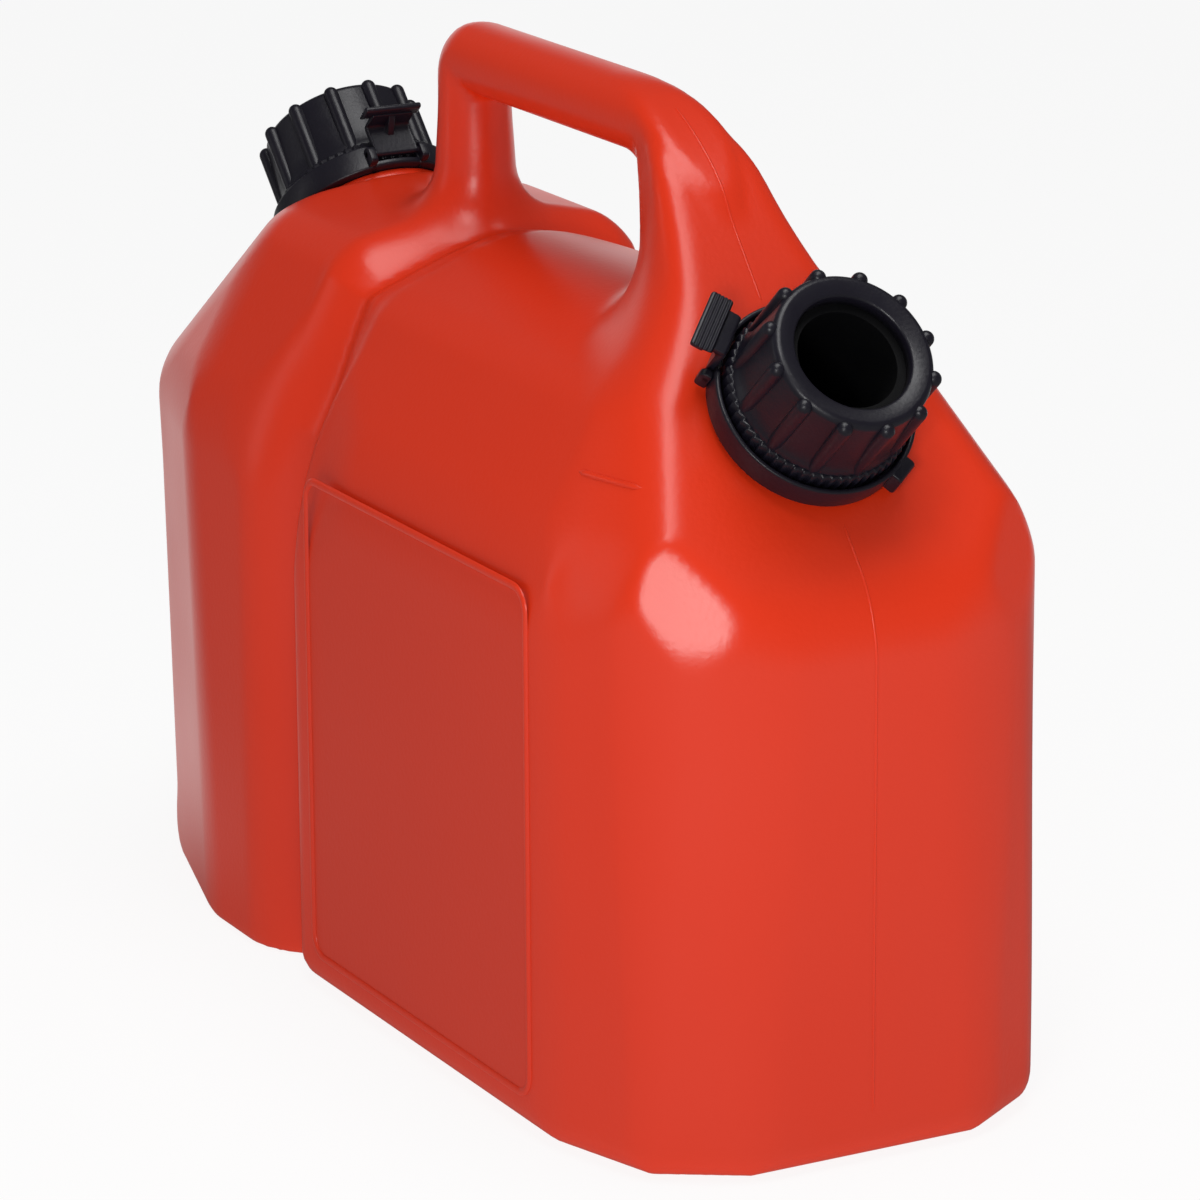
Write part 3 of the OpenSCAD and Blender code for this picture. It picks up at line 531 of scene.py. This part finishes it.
def moulding_group():
    """Skin of a plastic moulding: a slow mottle of the colour, a fine orange-peel grain for bump,
    and a roughness that wanders between two values in smaller patches."""
    g = bpy.data.node_groups.new("moulding_skin", "ShaderNodeTree")
    for name, kind in (("Colour", "NodeSocketColor"), ("Mottle Colour", "NodeSocketColor"),
                       ("Mottle Size", "NodeSocketFloat"), ("Grain Size", "NodeSocketFloat"),
                       ("Smooth", "NodeSocketFloat"), ("Rough", "NodeSocketFloat")):
        g.interface.new_socket(name, in_out="INPUT", socket_type=kind)
    for name, kind in (("Colour", "NodeSocketColor"), ("Roughness", "NodeSocketFloat"),
                       ("Height", "NodeSocketFloat")):
        g.interface.new_socket(name, in_out="OUTPUT", socket_type=kind)
    enter, leave = node(g, "NodeGroupInput", (-900, 0)), node(g, "NodeGroupOutput", (500, 0))
    place = node(g, "ShaderNodeTexCoord", (-900, -300))
    slow = node(g, "ShaderNodeTexNoise", (-600, 150), in_3=0.0)
    patches = node(g, "ShaderNodeTexNoise", (-600, -100), in_3=0.0)
    peel = node(g, "ShaderNodeTexNoise", (-600, -350), in_3=2.0, in_4=0.45)
    ramp = node(g, "ShaderNodeMapRange", (-350, 150), in_1=0.1, in_2=0.9)
    mix = node(g, "ShaderNodeMix", (-100, 150), data_type="RGBA")
    wander = node(g, "ShaderNodeMapRange", (-100, -100), in_1=0.1, in_2=0.9)
    smaller = node(g, "ShaderNodeMath", (-750, -100), operation="MULTIPLY", in_1=3.1)
    link = g.links.new
    for noise in (slow, patches, peel):
        link(place.outputs["Object"], noise.inputs["Vector"])
    link(enter.outputs["Mottle Size"], slow.inputs["Scale"])
    link(enter.outputs["Mottle Size"], smaller.inputs[0])
    link(smaller.outputs[0], patches.inputs["Scale"])
    link(enter.outputs["Grain Size"], peel.inputs["Scale"])
    link(slow.outputs[0], ramp.inputs[0])
    link(ramp.outputs[0], mix.inputs["Factor"])
    link(enter.outputs["Colour"], mix.inputs[6])
    link(enter.outputs["Mottle Colour"], mix.inputs[7])
    link(patches.outputs[0], wander.inputs[0])
    link(enter.outputs["Smooth"], wander.inputs[3])
    link(enter.outputs["Rough"], wander.inputs[4])
    link(mix.outputs[2], leave.inputs["Colour"])
    link(wander.outputs[0], leave.inputs["Roughness"])
    link(peel.outputs[0], leave.inputs["Height"])
    return g


MOULDING = moulding_group()
BUMP_DEPTH = 0.4 * MM


def plastic(name, colour, mottle, mottle_size, grain_size, smooth, rough, bump, specular=0.5):
    """A moulded plastic: the moulding skin drives colour, roughness and a faint bump."""
    m = bpy.data.materials.new(name)
    m.use_nodes = True
    t = m.node_tree
    bsdf = t.nodes["Principled BSDF"]
    bsdf.inputs["Specular IOR Level"].default_value = specular
    finish = node(t, "ShaderNodeGroup", (-500, 100), node_tree=MOULDING)
    for key, value in (("Colour", colour), ("Mottle Colour", mottle), ("Mottle Size", mottle_size),
                       ("Grain Size", grain_size), ("Smooth", smooth), ("Rough", rough)):
        finish.inputs[key].default_value = value
    raised = node(t, "ShaderNodeBump", (-200, -200))
    raised.inputs["Strength"].default_value = bump
    raised.inputs["Distance"].default_value = BUMP_DEPTH
    t.links.new(finish.outputs["Colour"], bsdf.inputs["Base Color"])
    t.links.new(finish.outputs["Roughness"], bsdf.inputs["Roughness"])
    t.links.new(finish.outputs["Height"], raised.inputs["Height"])
    t.links.new(raised.outputs["Normal"], bsdf.inputs["Normal"])
    return m


RED = plastic("can_red", (0.70, 0.032, 0.006, 1), (0.66, 0.029, 0.0055, 1), mottle_size=9,
              grain_size=620, smooth=0.285, rough=0.33, bump=0.12, specular=0.42)
BLACK = plastic("closure_black", (0.008, 0.007, 0.013, 1), (0.006, 0.005, 0.010, 1), mottle_size=60,
                grain_size=900, smooth=0.33, rough=0.41, bump=0.15, specular=0.42)
# Painted shade: a darker, less glossy copy of the closures' black for the spouts and tip caps, so
# the bore under each collar reads as a deep black hole
SHADED_BLACK = plastic("spout_shaded_black", (0.0035, 0.0035, 0.004, 1), (0.0025, 0.0025, 0.003, 1),
               mottle_size=60, grain_size=900, smooth=0.5, rough=0.6, bump=0.1, specular=0.15)
RUBBER = plastic("seal_rubber", srgb(26, 25, 26), srgb(20, 20, 21), mottle_size=80,
                 grain_size=1200, smooth=0.6, rough=0.75, bump=0.2)


def panel_area_group():
    """1 inside the bordered panel on the left side, fading to 0 over its border: the product of a
    rise and a fall along x, a rise and a fall along z, and a fall towards the middle of the can."""
    g = bpy.data.node_groups.new("panel_area", "ShaderNodeTree")
    g.interface.new_socket("Inside", in_out="OUTPUT", socket_type="NodeSocketFloat")
    place = node(g, "ShaderNodeTexCoord", (-900, 0))
    split = node(g, "ShaderNodeSeparateXYZ", (-700, 0))
    leave = node(g, "NodeGroupOutput", (900, 0))
    g.links.new(place.outputs["Object"], split.inputs[0])
    limits = (("X", PANEL_X[0], 1), ("X", PANEL_X[1], -1), ("Z", PANEL_Z[0], 1),
              ("Z", PANEL_Z[1], -1), ("Y", -HALF_W + PANEL_DEPTH, -1))
    steps = [smooth_step(g, split.outputs[axis], (-450, 500 - 260 * k),
                         (limit - way * PANEL_FADE) * MM, (limit + way * PANEL_FADE) * MM)
             for k, (axis, limit, way) in enumerate(limits)]
    g.links.new(joined_by(g, "MULTIPLY", steps, (-200, 0)), leave.inputs["Inside"])
    return g


def shade_and_roughen_panel(material, shade, rough):
    """Darkens a plastic by shade inside the bordered panel, as painted shade for the relief of its
    lettering, which is not modelled, and adds rough to its roughness there.
    """
    t = material.node_tree
    bsdf = t.nodes["Principled BSDF"]
    area = node(t, "ShaderNodeGroup", (-500, -200), node_tree=panel_area_group())
    darker = node(t, "ShaderNodeMix", (-200, 200), data_type="RGBA", blend_type="MULTIPLY")
    darker.inputs[7].default_value = (shade, shade, shade, 1)
    rougher = node(t, "ShaderNodeMath", (-200, 0), operation="MULTIPLY_ADD", in_1=rough)
    t.links.new(bsdf.inputs["Base Color"].links[0].from_socket, darker.inputs[6])
    t.links.new(area.outputs[0], darker.inputs["Factor"])
    t.links.new(area.outputs[0], rougher.inputs[0])
    t.links.new(bsdf.inputs["Roughness"].links[0].from_socket, rougher.inputs[2])
    t.links.new(darker.outputs[2], bsdf.inputs["Base Color"])
    t.links.new(rougher.outputs[0], bsdf.inputs["Roughness"])


# Painted shade: the panel is darkened in colour in place of the shade of its unmodelled lettering
shade_and_roughen_panel(RED, shade=0.92, rough=0.04)

# Moulding
shell, shell_quads = skin(can_form, *SHELL_BOX, SHELL_PITCH)
lining, lining_quads = skin(lining_form, *LINING_BOX, LINING_PITCH)
shell_quads = outside_necks(shell, shell_quads, SHELL_HOLE_R)
lining_quads = outside_necks(lining, lining_quads, LINING_HOLE_R)
add_piece("can_shell", [used_only(shell, shell_quads), used_only(lining, lining_quads[:, ::-1])],
          RED, "can", ["can_body"])


def bead_on_side(path, half_w, height):
    """A half-round bead carried along a closed path [x, z] on the left side: across the path it
    goes through half a circle from one foot, over the top, to the other foot, with its feet just
    under the skin."""
    d = unit_rows(np.roll(path, -1, 0) - np.roll(path, 1, 0))
    cross = np.stack([-d[:, 1], d[:, 0]], -1)
    q = np.linspace(0, math.pi, BEAD_POINTS)
    w, h = half_w * np.cos(q), height * np.sin(q) - BEAD_SINK
    x = path[:, :1] + cross[:, :1] * w
    z = path[:, 1:] + cross[:, 1:] * w
    y = np.broadcast_to(-HALF_W - h, x.shape)
    return np.stack([x, y, z], -1), grid_faces(len(path), len(q), close_rows=True)


def on_skin(inside, outside):
    """Points where the lines from inside to outside points cross the skin, found by halving."""
    for _ in range(HALVINGS):
        middle = (inside + outside) / 2
        out = (can_form(*middle.T) > 0)[:, None]
        inside, outside = np.where(out, inside, middle), np.where(out, middle, outside)
    return (inside + outside) / 2


def bead_on_skin(path, half_w, height):
    """A half-round bead carried along a path on the skin: across the path it goes through half a
    circle from foot to foot, over the skin's normal, and shrinks to nothing at both ends."""
    d = unit_rows(np.gradient(path, axis=0))
    n = unit_rows(gradient(can_form, path))
    cross = np.cross(n, d)
    step = np.arange(len(path))
    size = rise(np.minimum(step, step[::-1]), *BEAD_END)[:, None, None]
    q = np.linspace(0, math.pi, BEAD_POINTS)[None, :, None]
    w, h = cross[:, None] * half_w * np.cos(q), n[:, None] * (height + BEAD_SINK) * np.sin(q)
    p = path[:, None] + size * (w + h)
    return p - BEAD_SINK * n[:, None], grid_faces(len(path), BEAD_POINTS)


def seam_path(z):
    """Middle of the front face, slope and front leg at the heights z."""
    x = FRONT_X - np.maximum(z - FRONT_BREAK_Z, 0) / math.tan(FRONT_SLOPE)
    return on_skin(np.stack([x - SEAM_IN, 0 * z, z], -1), np.stack([x + SEAM_OUT, 0 * z, z], -1))


def fill_path(x):
    """Points of the fill line on the left shoulder at the places x."""
    return on_skin(*(np.stack([x, np.full_like(x, y), np.full_like(x, FILL_Z)], -1)
                     for y in FILL_Y))


add_piece("fill_line", [bead_on_skin(fill_path(np.linspace(*FILL_X, FILL_STEPS)), *FILL_BEAD)],
          RED, "can")
add_piece("mould_seam", [bead_on_skin(seam_path(np.linspace(*ends, SEAM_STEPS)), *SEAM_BEAD)
                         for ends in SEAM_Z], RED, "can")
panel_path = rounded_box(PANEL_X, PANEL_Z, [PANEL_R] * 4, 6)
add_piece("panel_bead", [bead_on_side(panel_path, *PANEL_BEAD)], RED, "can")


# Closures
def neck(side):
    """A neck: bore, rim, threaded outside and seat turned round the axis. The outside stands out
    by a ridge with sloping sides that climbs one pitch in a turn."""
    rim = [[NECK_BORE_R, NECK_ROOT], [NECK_BORE_R, 10], [NECK_BORE_R, NECK_H - NECK_LIP],
           [NECK_BORE_R + NECK_LIP, NECK_H], [NECK_R - NECK_LIP, NECK_H],
           [NECK_R, NECK_H - NECK_LIP]]
    down = np.linspace(NECK_H - 2 * NECK_LIP, SEAT_H + 2, 60)
    seat = [[NECK_R, SEAT_H + 1], [NECK_R + SEAT_EDGE, SEAT_H], [SEAT_R - SEAT_EDGE, SEAT_H],
            [SEAT_R, SEAT_H - SEAT_EDGE], [SEAT_R, SEAT_FOOT]]
    rows = np.concatenate([rim, np.stack([np.full_like(down, NECK_R), down], -1), seat])
    q = np.linspace(0, TURN, 96, endpoint=False)
    r = np.repeat(rows[:, :1], len(q), 1)
    z = np.repeat(rows[:, 1:], len(q), 1)
    phase = (z - THREAD_AT) / THREAD_PITCH - q / TURN
    ridge = np.clip(1 - np.abs(phase - np.round(phase)) * THREAD_PITCH / THREAD_HALF, 0, 1)
    on_thread = (z > THREAD_Z[0]) & (z < THREAD_Z[1]) & (r == NECK_R)
    r = r + np.where(on_thread, THREAD_DEPTH * np.minimum(ridge * THREAD_STEEP, 1), 0)
    return in_neck(side, r, q, z), grid_faces(len(rows), len(q), close_cols=True)[:, ::-1]


def collar_cap(side):
    """Body of a collar: from the top of the bore in to the hole, up the hole, over the dished top
    and its rounded edge, down the flared side, under the foot and up the bore again, turned round
    the axis."""
    edge = np.linspace(math.pi / 2, 0, 8)
    skirt_r = TOOTH_R - TOOTH_DEPTH - 0.4
    rows = np.concatenate([
        [[COLLAR_BORE_R, COLLAR_UNDER], [COLLAR_HOLE_R, COLLAR_UNDER]],
        [[COLLAR_HOLE_R + out, COLLAR_TOP - down] for out, down in HOLE_LIP],
        np.stack([COLLAR_TOP_R - COLLAR_ROUND + COLLAR_ROUND * np.cos(edge),
                  COLLAR_TOP - COLLAR_ROUND + COLLAR_ROUND * np.sin(edge)], -1),
        [[COLLAR_TOP_R + 0.3, 30], [COLLAR_FOOT_R - 0.3, 20], [COLLAR_FOOT_R, 16.4],
         [COLLAR_FOOT_R + 0.5, 15], [skirt_r, SKIRT_TOP], [skirt_r, COLLAR_FOOT_Z],
         [COLLAR_BORE_R, COLLAR_FOOT_Z]]])
    q = np.linspace(0, TURN, 144, endpoint=False)
    p = in_neck(side, rows[:, :1], q, np.repeat(rows[:, 1:], len(q), 1))
    return p, grid_faces(len(rows), len(q), close_rows=True, close_cols=True)[:, ::-1]


def collar_ribs(side, clock):
    """Grip ribs: upright half-buried rods with round tops, one capsule of turned rows for each."""
    lift = np.linspace(0, math.pi / 2, 7)[1:-1]
    crown_z = COLLAR_TOP - RIB_R
    r = np.concatenate([[RIB_R, RIB_R], RIB_R * np.cos(lift), [RIB_TIP_R]])[:, None]
    z = np.concatenate([[SKIRT_TOP - 1, crown_z], crown_z + RIB_R * np.sin(lift), [COLLAR_TOP]])
    q = np.linspace(0, TURN, 20, endpoint=False)
    rod = np.stack(np.broadcast_arrays(COLLAR_TOP_R + RIB_OUT + r * np.cos(q), r * np.sin(q),
                                       z[:, None]), -1)
    faces = grid_faces(len(r), len(q), close_cols=True)
    turns = clock + 360 / RIB_COUNT * np.arange(RIB_COUNT)
    return [(at_neck(side, turn, rod), faces) for turn in turns]


def collar_teeth(side, clock):
    """Toothed skirt: a band whose outer radius falls from tip to root over each tooth, with its
    upper and lower edges eased, closed through the inside."""
    step = np.arange(TOOTH_COUNT * TOOTH_POINTS)
    q = step / len(step) * TURN + math.radians(clock)
    fall = (step % TOOTH_POINTS - 1) / (TOOTH_POINTS - 1)
    saw = TOOTH_R - TOOTH_DEPTH * np.where(fall < 0, 0.5, fall)
    rows = [(TOOTH_R - TOOTH_DEPTH - 0.6, SKIRT_TOP - 0.3), (saw - TOOTH_EDGE, SKIRT_TOP - 0.5),
            (saw, SKIRT_TOP - 1.1), (saw, SKIRT_Z + TOOTH_EDGE), (saw - TOOTH_EDGE, SKIRT_Z),
            (COLLAR_BORE_R, SKIRT_Z), (COLLAR_BORE_R, SKIRT_TOP - 4)]
    r = np.stack([np.broadcast_to(a, q.shape) for a, _ in rows])
    z = np.stack([np.full(q.shape, b) for _, b in rows])
    faces = grid_faces(len(rows), len(q), close_rows=True, close_cols=True)
    return in_neck(side, r, q, z), faces[:, ::-1]


def lock_ring(side, clock):
    """A cup with a floor and a wall, carried round the axis from one side of the lever's notch to
    the other, a floor strip under the lever, two pivot ears and a clasp lug."""
    inner_r, floor_r = RING_R - RING_WALL, NECK_R + RING_CLEAR
    top, floor_top = RING_Z + RING_H, RING_Z + RING_FLOOR
    cup = rounded_outline([[floor_r, RING_Z, 0.4], [RING_R, RING_Z, 1.0], [RING_R, top, 0.7],
                           [inner_r, top, 0.6], [inner_r, floor_top, 0.5],
                           [floor_r, floor_top, 0.4]], 3)
    strip = rounded_box((floor_r, RING_R), (RING_Z, floor_top), (0.4, 1.0, 0.4, 0.4), 3)
    half = math.asin((ARM_W / 2 + EAR_GAP) / RING_R)
    parts = []
    for outline, q0, q1, n in ((cup, half, TURN - half, 120),
                               (strip, -half - STRIP_LAP, half + STRIP_LAP, 12)):
        q = np.linspace(q0, q1, n) + math.radians(clock)
        z = np.repeat(outline[None, :, 1], n, 0)
        parts.append(capped_sweep(in_neck(side, outline[None, :, 0], q[:, None], z)))
    ear = rounded_box((RING_R - 1.5, PIVOT_R_AT + PIVOT_PIN_R + EAR_WALL),
                      (RING_Z + 0.4, PIVOT_Z + EAR_TOP), (0.4, 1.2, 2.0, 0.4), 4)
    ear_at = ARM_W / 2 + EAR_GAP + EAR_T / 2
    parts += [bar_at_neck(side, clock, ear, EAR_T, 0.35, way * ear_at) for way in (-1, 1)]
    lug = rounded_box((RING_R - 1.2, RING_R + LUG_OUT), (RING_Z + 0.5, RING_Z + RING_H - 0.7),
                      (0.4, 0.9, 1.4, 0.4), 4)
    parts.append(bar_at_neck(side, clock + LUG_TURN, lug, LUG_LEN, 0.7))
    return parts


def lock_lever(side, clock):
    """A bent arm with a grooved thumb ledge on top, a gusset, a pawl and a pivot pin, each an
    outline [radial, up] carried along the tangent with rounded ends."""
    ledge_z, arm_out = LEDGE_TOP - LEDGE_T, ARM_IN + ARM_T
    foot_z, head_z = PIVOT_Z - ARM_LAP, LEDGE_TOP - ARM_LAP
    arm = rounded_outline([[ARM_IN, foot_z, 1.0], [arm_out, foot_z, 1.0],
                           [arm_out, ledge_z - 0.6, 1.6], [LEDGE_R + 1, ledge_z - 0.6, 0.4],
                           [LEDGE_R + 1, head_z, 0.4], [ARM_IN, head_z, 1.2]], 4)
    x0, x1 = LEDGE_R - LEDGE_W / 2, LEDGE_R + LEDGE_W / 2
    across = np.linspace(x1 - 0.9, x0 + 0.7, 49)
    groove = (across - x0) / LEDGE_W * GROOVE_COUNT
    depth = np.where((groove > 0.5) & (groove < GROOVE_COUNT - 0.5),
                     GROOVE_DEPTH * (1 - np.cos(TURN * (groove - 0.5))), 0)
    under = rounded_outline([[x0, ledge_z, 0.5], [x1, ledge_z, 0.9], [x1, LEDGE_TOP, 0.7]], 4)
    ledge = np.concatenate([under, np.stack([across, LEDGE_TOP - depth], -1),
                            [[x0, LEDGE_TOP - 0.5]]])
    gusset = rounded_outline([[arm_out - 0.8, ledge_z - GUSSET_H, 0.3], [x1 - 2.5, ledge_z, 0.3],
                              [arm_out - 0.8, ledge_z, 0.3]], 3)
    pawl = rounded_box((TOOTH_R + 0.5, ARM_IN + 1), PAWL_Z, [PAWL_R] * 4, 3)
    q = np.linspace(0, TURN, 24, endpoint=False)
    pin = np.stack([PIVOT_R_AT + PIVOT_PIN_R * np.cos(q), PIVOT_Z + PIVOT_PIN_R * np.sin(q)], -1)
    pin_len = ARM_W + 2 * (EAR_GAP + EAR_T)
    bars = ((arm, ARM_W, 0.6), (ledge, LEDGE_LEN, 0.7), (gusset, GUSSET_T, 0.25),
            (pawl, PAWL_LEN, 0.3), (pin, pin_len, 0.3))
    return [bar_at_neck(side, clock, *bar) for bar in bars]


for side, (collar_clock, lever_clock) in CLOCKS.items():
    add_piece(side + "_neck", [neck(side)], RED, "can")
    collar = [collar_cap(side), collar_teeth(side, collar_clock), *collar_ribs(side, collar_clock)]
    add_piece(side + "_collar_cap", collar, BLACK, side + "_collar",
              [side + "_collar"])
    add_piece(side + "_lock_cup", lock_ring(side, lever_clock), BLACK, "can",
              [side + "_lock_ring"])
    add_piece(side + "_thumb_lever", lock_lever(side, lever_clock), BLACK, side + "_lever",
              [side + "_lock_lever"])
    # The spouts and tip caps take the painted-shade black; the gaskets take rubber
    for part, finish in (("spout", SHADED_BLACK), ("tip_cap", SHADED_BLACK), ("gasket", RUBBER)):
        mesh = nodes[f"{side}_{part}"].data
        mesh.materials.clear()
        mesh.materials.append(finish)

# Floor, light and camera
FLOOR_HALF = 3.0
PAPER_WHITE, GLOW_SHARE = 0.9, 0.9
BOUNCE_X, BOUNCE = (-0.35, 0.45), (0.7, 1.4)
TENT_COLOUR, TENT_STRENGTH = (1, 0.99, 0.98, 1), 0.27
MIRROR_HEIGHT = (0.12, 0.4)


def backdrop_parts(tree, at):
    """(1 on a camera, mirror or clear ray, 1 on a mirror ray) from the light path."""
    rays = node(tree, "ShaderNodeLightPath", at).outputs
    kinds = [rays["Is Camera Ray"], rays["Is Glossy Ray"], rays["Is Transmission Ray"]]
    return joined_by(tree, "MAXIMUM", kinds, (at[0] + 200, at[1])), rays["Is Glossy Ray"]


def behind_strength(tree, vector, mirror, at, rear, left, low):
    """1 for the camera; on a mirror ray it is 1 straight behind the object and low elsewhere: a
    rise along -x between two values times a rise along y between two values times a fall with
    height."""
    split = node(tree, "ShaderNodeSeparateXYZ", at)
    tree.links.new(vector, split.inputs[0])
    x, y = at[0] + 200, at[1]
    steps = [smooth_step(tree, split.outputs["X"], (x, y), *rear),
             smooth_step(tree, split.outputs["Y"], (x, y - 260), *left),
             smooth_step(tree, split.outputs["Z"], (x, y - 520), *MIRROR_HEIGHT, 1.0, 0.0)]
    lifted = node(tree, "ShaderNodeMapRange", (x + 600, y), in_3=low, in_4=1.0)
    chosen = node(tree, "ShaderNodeMix", (x + 800, y), in_2=1.0)
    tree.links.new(joined_by(tree, "MULTIPLY", steps, (x + 200, y)), lifted.inputs[0])
    tree.links.new(mirror, chosen.inputs[0])
    tree.links.new(lifted.outputs[0], chosen.inputs[3])
    return chosen.outputs[0]


def pale_floor():
    """White paper: a sheet that catches the shadow and glows. The camera sees most of the glow,
    and the object gets it as light from below, more in front than behind."""
    m = bpy.data.materials.new("pale_floor")
    m.use_nodes = True
    t = m.node_tree
    t.nodes.clear()
    place = node(t, "ShaderNodeTexCoord", (-1500, -200))
    paper = node(t, "ShaderNodeBsdfDiffuse", (0, 100), in_0=(PAPER_WHITE,) * 3 + (1,))
    glow = node(t, "ShaderNodeEmission", (0, -100), in_0=(1, 1, 1, 1))
    share = node(t, "ShaderNodeMapRange", (0, 300), in_3=1.0, in_4=GLOW_SHARE)
    split = node(t, "ShaderNodeSeparateXYZ", (-500, -350))
    bounce = node(t, "ShaderNodeMapRange", (-300, -350), in_1=BOUNCE_X[0], in_2=BOUNCE_X[1],
                  in_3=BOUNCE[0], in_4=BOUNCE[1])
    chosen = node(t, "ShaderNodeMix", (-150, -200))
    both = node(t, "ShaderNodeMixShader", (250, 100))
    end = node(t, "ShaderNodeOutputMaterial", (500, 100))
    seen, mirror = backdrop_parts(t, (-900, 300))
    strength = behind_strength(t, place.outputs["Object"], mirror, (-1300, -200),
                               rear=(-0.1, -0.3), left=(-0.16, -0.06), low=0.12)
    link = t.links.new
    link(place.outputs["Object"], split.inputs[0])
    link(split.outputs["X"], bounce.inputs[0])
    link(seen, chosen.inputs[0])
    link(bounce.outputs[0], chosen.inputs[2])
    link(strength, chosen.inputs[3])
    link(chosen.outputs[0], glow.inputs[1])
    link(seen, share.inputs[0])
    link(share.outputs[0], both.inputs[0])
    link(paper.outputs[0], both.inputs[1])
    link(glow.outputs[0], both.inputs[2])
    link(both.outputs[0], end.inputs[0])
    return m


def studio_world():
    """An even tent of light. The camera sees it white, and a mirror sees white only behind the
    object."""
    world = bpy.data.worlds.new("studio")
    world.use_nodes = True
    t = world.node_tree
    t.nodes.clear()
    way = node(t, "ShaderNodeTexCoord", (-1500, -200))
    white = node(t, "ShaderNodeBackground", (0, 100), in_0=(1, 1, 1, 1))
    tent = node(t, "ShaderNodeBackground", (0, -100), in_0=TENT_COLOUR, in_1=TENT_STRENGTH)
    choose = node(t, "ShaderNodeMixShader", (250, 0))
    end = node(t, "ShaderNodeOutputWorld", (500, 0))
    seen, mirror = backdrop_parts(t, (-900, 300))
    strength = behind_strength(t, way.outputs["Generated"], mirror, (-1300, -200),
                               rear=(-0.7, -0.9), left=(-0.2, -0.02), low=0.1)
    t.links.new(strength, white.inputs[1])
    t.links.new(seen, choose.inputs[0])
    t.links.new(tent.outputs[0], choose.inputs[1])
    t.links.new(white.outputs[0], choose.inputs[2])
    t.links.new(choose.outputs[0], end.inputs[0])
    return world


def placed(obj, right, up, back, place):
    """Puts a lamp or camera into the scene by its axes and its place."""
    m = np.eye(4)
    m[:3, 0], m[:3, 1], m[:3, 2], m[:3, 3] = right, up, back, place
    obj.matrix_world = Matrix(m.tolist())
    bpy.context.scene.collection.objects.link(obj)
    return obj


def soft_box(name, place, aim, width, height, power):
    """A rectangular lamp at a place in metres, turned to face a point."""
    lamp = bpy.data.lights.new(name, "AREA")
    lamp.shape = "RECTANGLE"
    lamp.size, lamp.size_y, lamp.energy = width, height, power
    back = unit(np.array(place, float) - np.array(aim, float))
    right = unit(np.cross((0, 0, 1), back))
    placed(bpy.data.objects.new(name, lamp), right, np.cross(back, right), back, place)


def toward(azimuth, elevation, distance, centre):
    """A place at a distance from a centre, in a direction given in degrees."""
    a, e = math.radians(azimuth), math.radians(elevation)
    way = np.array([math.cos(a) * math.cos(e), math.sin(a) * math.cos(e), math.sin(e)])
    return np.array(centre) + distance * way


floor_mesh = bpy.data.meshes.new("floor")
floor_mesh.from_pydata([(-FLOOR_HALF, -FLOOR_HALF, 0), (FLOOR_HALF, -FLOOR_HALF, 0),
                        (FLOOR_HALF, FLOOR_HALF, 0), (-FLOOR_HALF, FLOOR_HALF, 0)],
                       [], [(0, 1, 2, 3)])
floor = bpy.data.objects.new("floor", floor_mesh)
bpy.context.scene.collection.objects.link(floor)
floor_mesh.materials.append(pale_floor())
bpy.context.scene.world = studio_world()

HIP_AIM, CORNER_AIM, OIL_AIM = (0.155, -0.05, 0.209), (0.178, -0.053, 0.175), (-0.07, -0.07, 0.2)
soft_box("overhead_box", toward(-39, 64, 1.2, HIP_AIM), HIP_AIM, 0.25, 0.25, power=2.6)
soft_box("front_box", toward(-36, 14.5, 0.8, CORNER_AIM), CORNER_AIM, 0.16, 0.16, power=2.2)
soft_box("side_strip", toward(-120, 10, 1.2, OIL_AIM), OIL_AIM, 0.25, 0.7, power=0.45)
soft_box("top_box", (0.25, 0.08, 1.6), (0.05, 0, 0.2), 0.8, 0.8, power=10.0)

AZIMUTH, ELEVATION, ROLL = math.radians(61.845), math.radians(16.031), math.radians(-0.327)
CAMERA_AT = np.array([1.5373, -0.8128, 0.6274])
level = np.array([math.cos(AZIMUTH), math.sin(AZIMUTH), 0.0])
camera_back = np.array([math.sin(AZIMUTH) * math.cos(ELEVATION),
                        -math.cos(AZIMUTH) * math.cos(ELEVATION), math.sin(ELEVATION)])
upright = np.cross(camera_back, level)
lens = bpy.data.cameras.new("camera")
lens.sensor_width, lens.lens = 36.0, 168.8
lens.clip_start, lens.clip_end = 0.05, 30
bpy.context.scene.camera = placed(bpy.data.objects.new("camera", lens),
                                  math.cos(ROLL) * level + math.sin(ROLL) * upright,
                                  math.cos(ROLL) * upright - math.sin(ROLL) * level,
                                  camera_back, CAMERA_AT)
bpy.context.scene.view_settings.view_transform = "Standard"
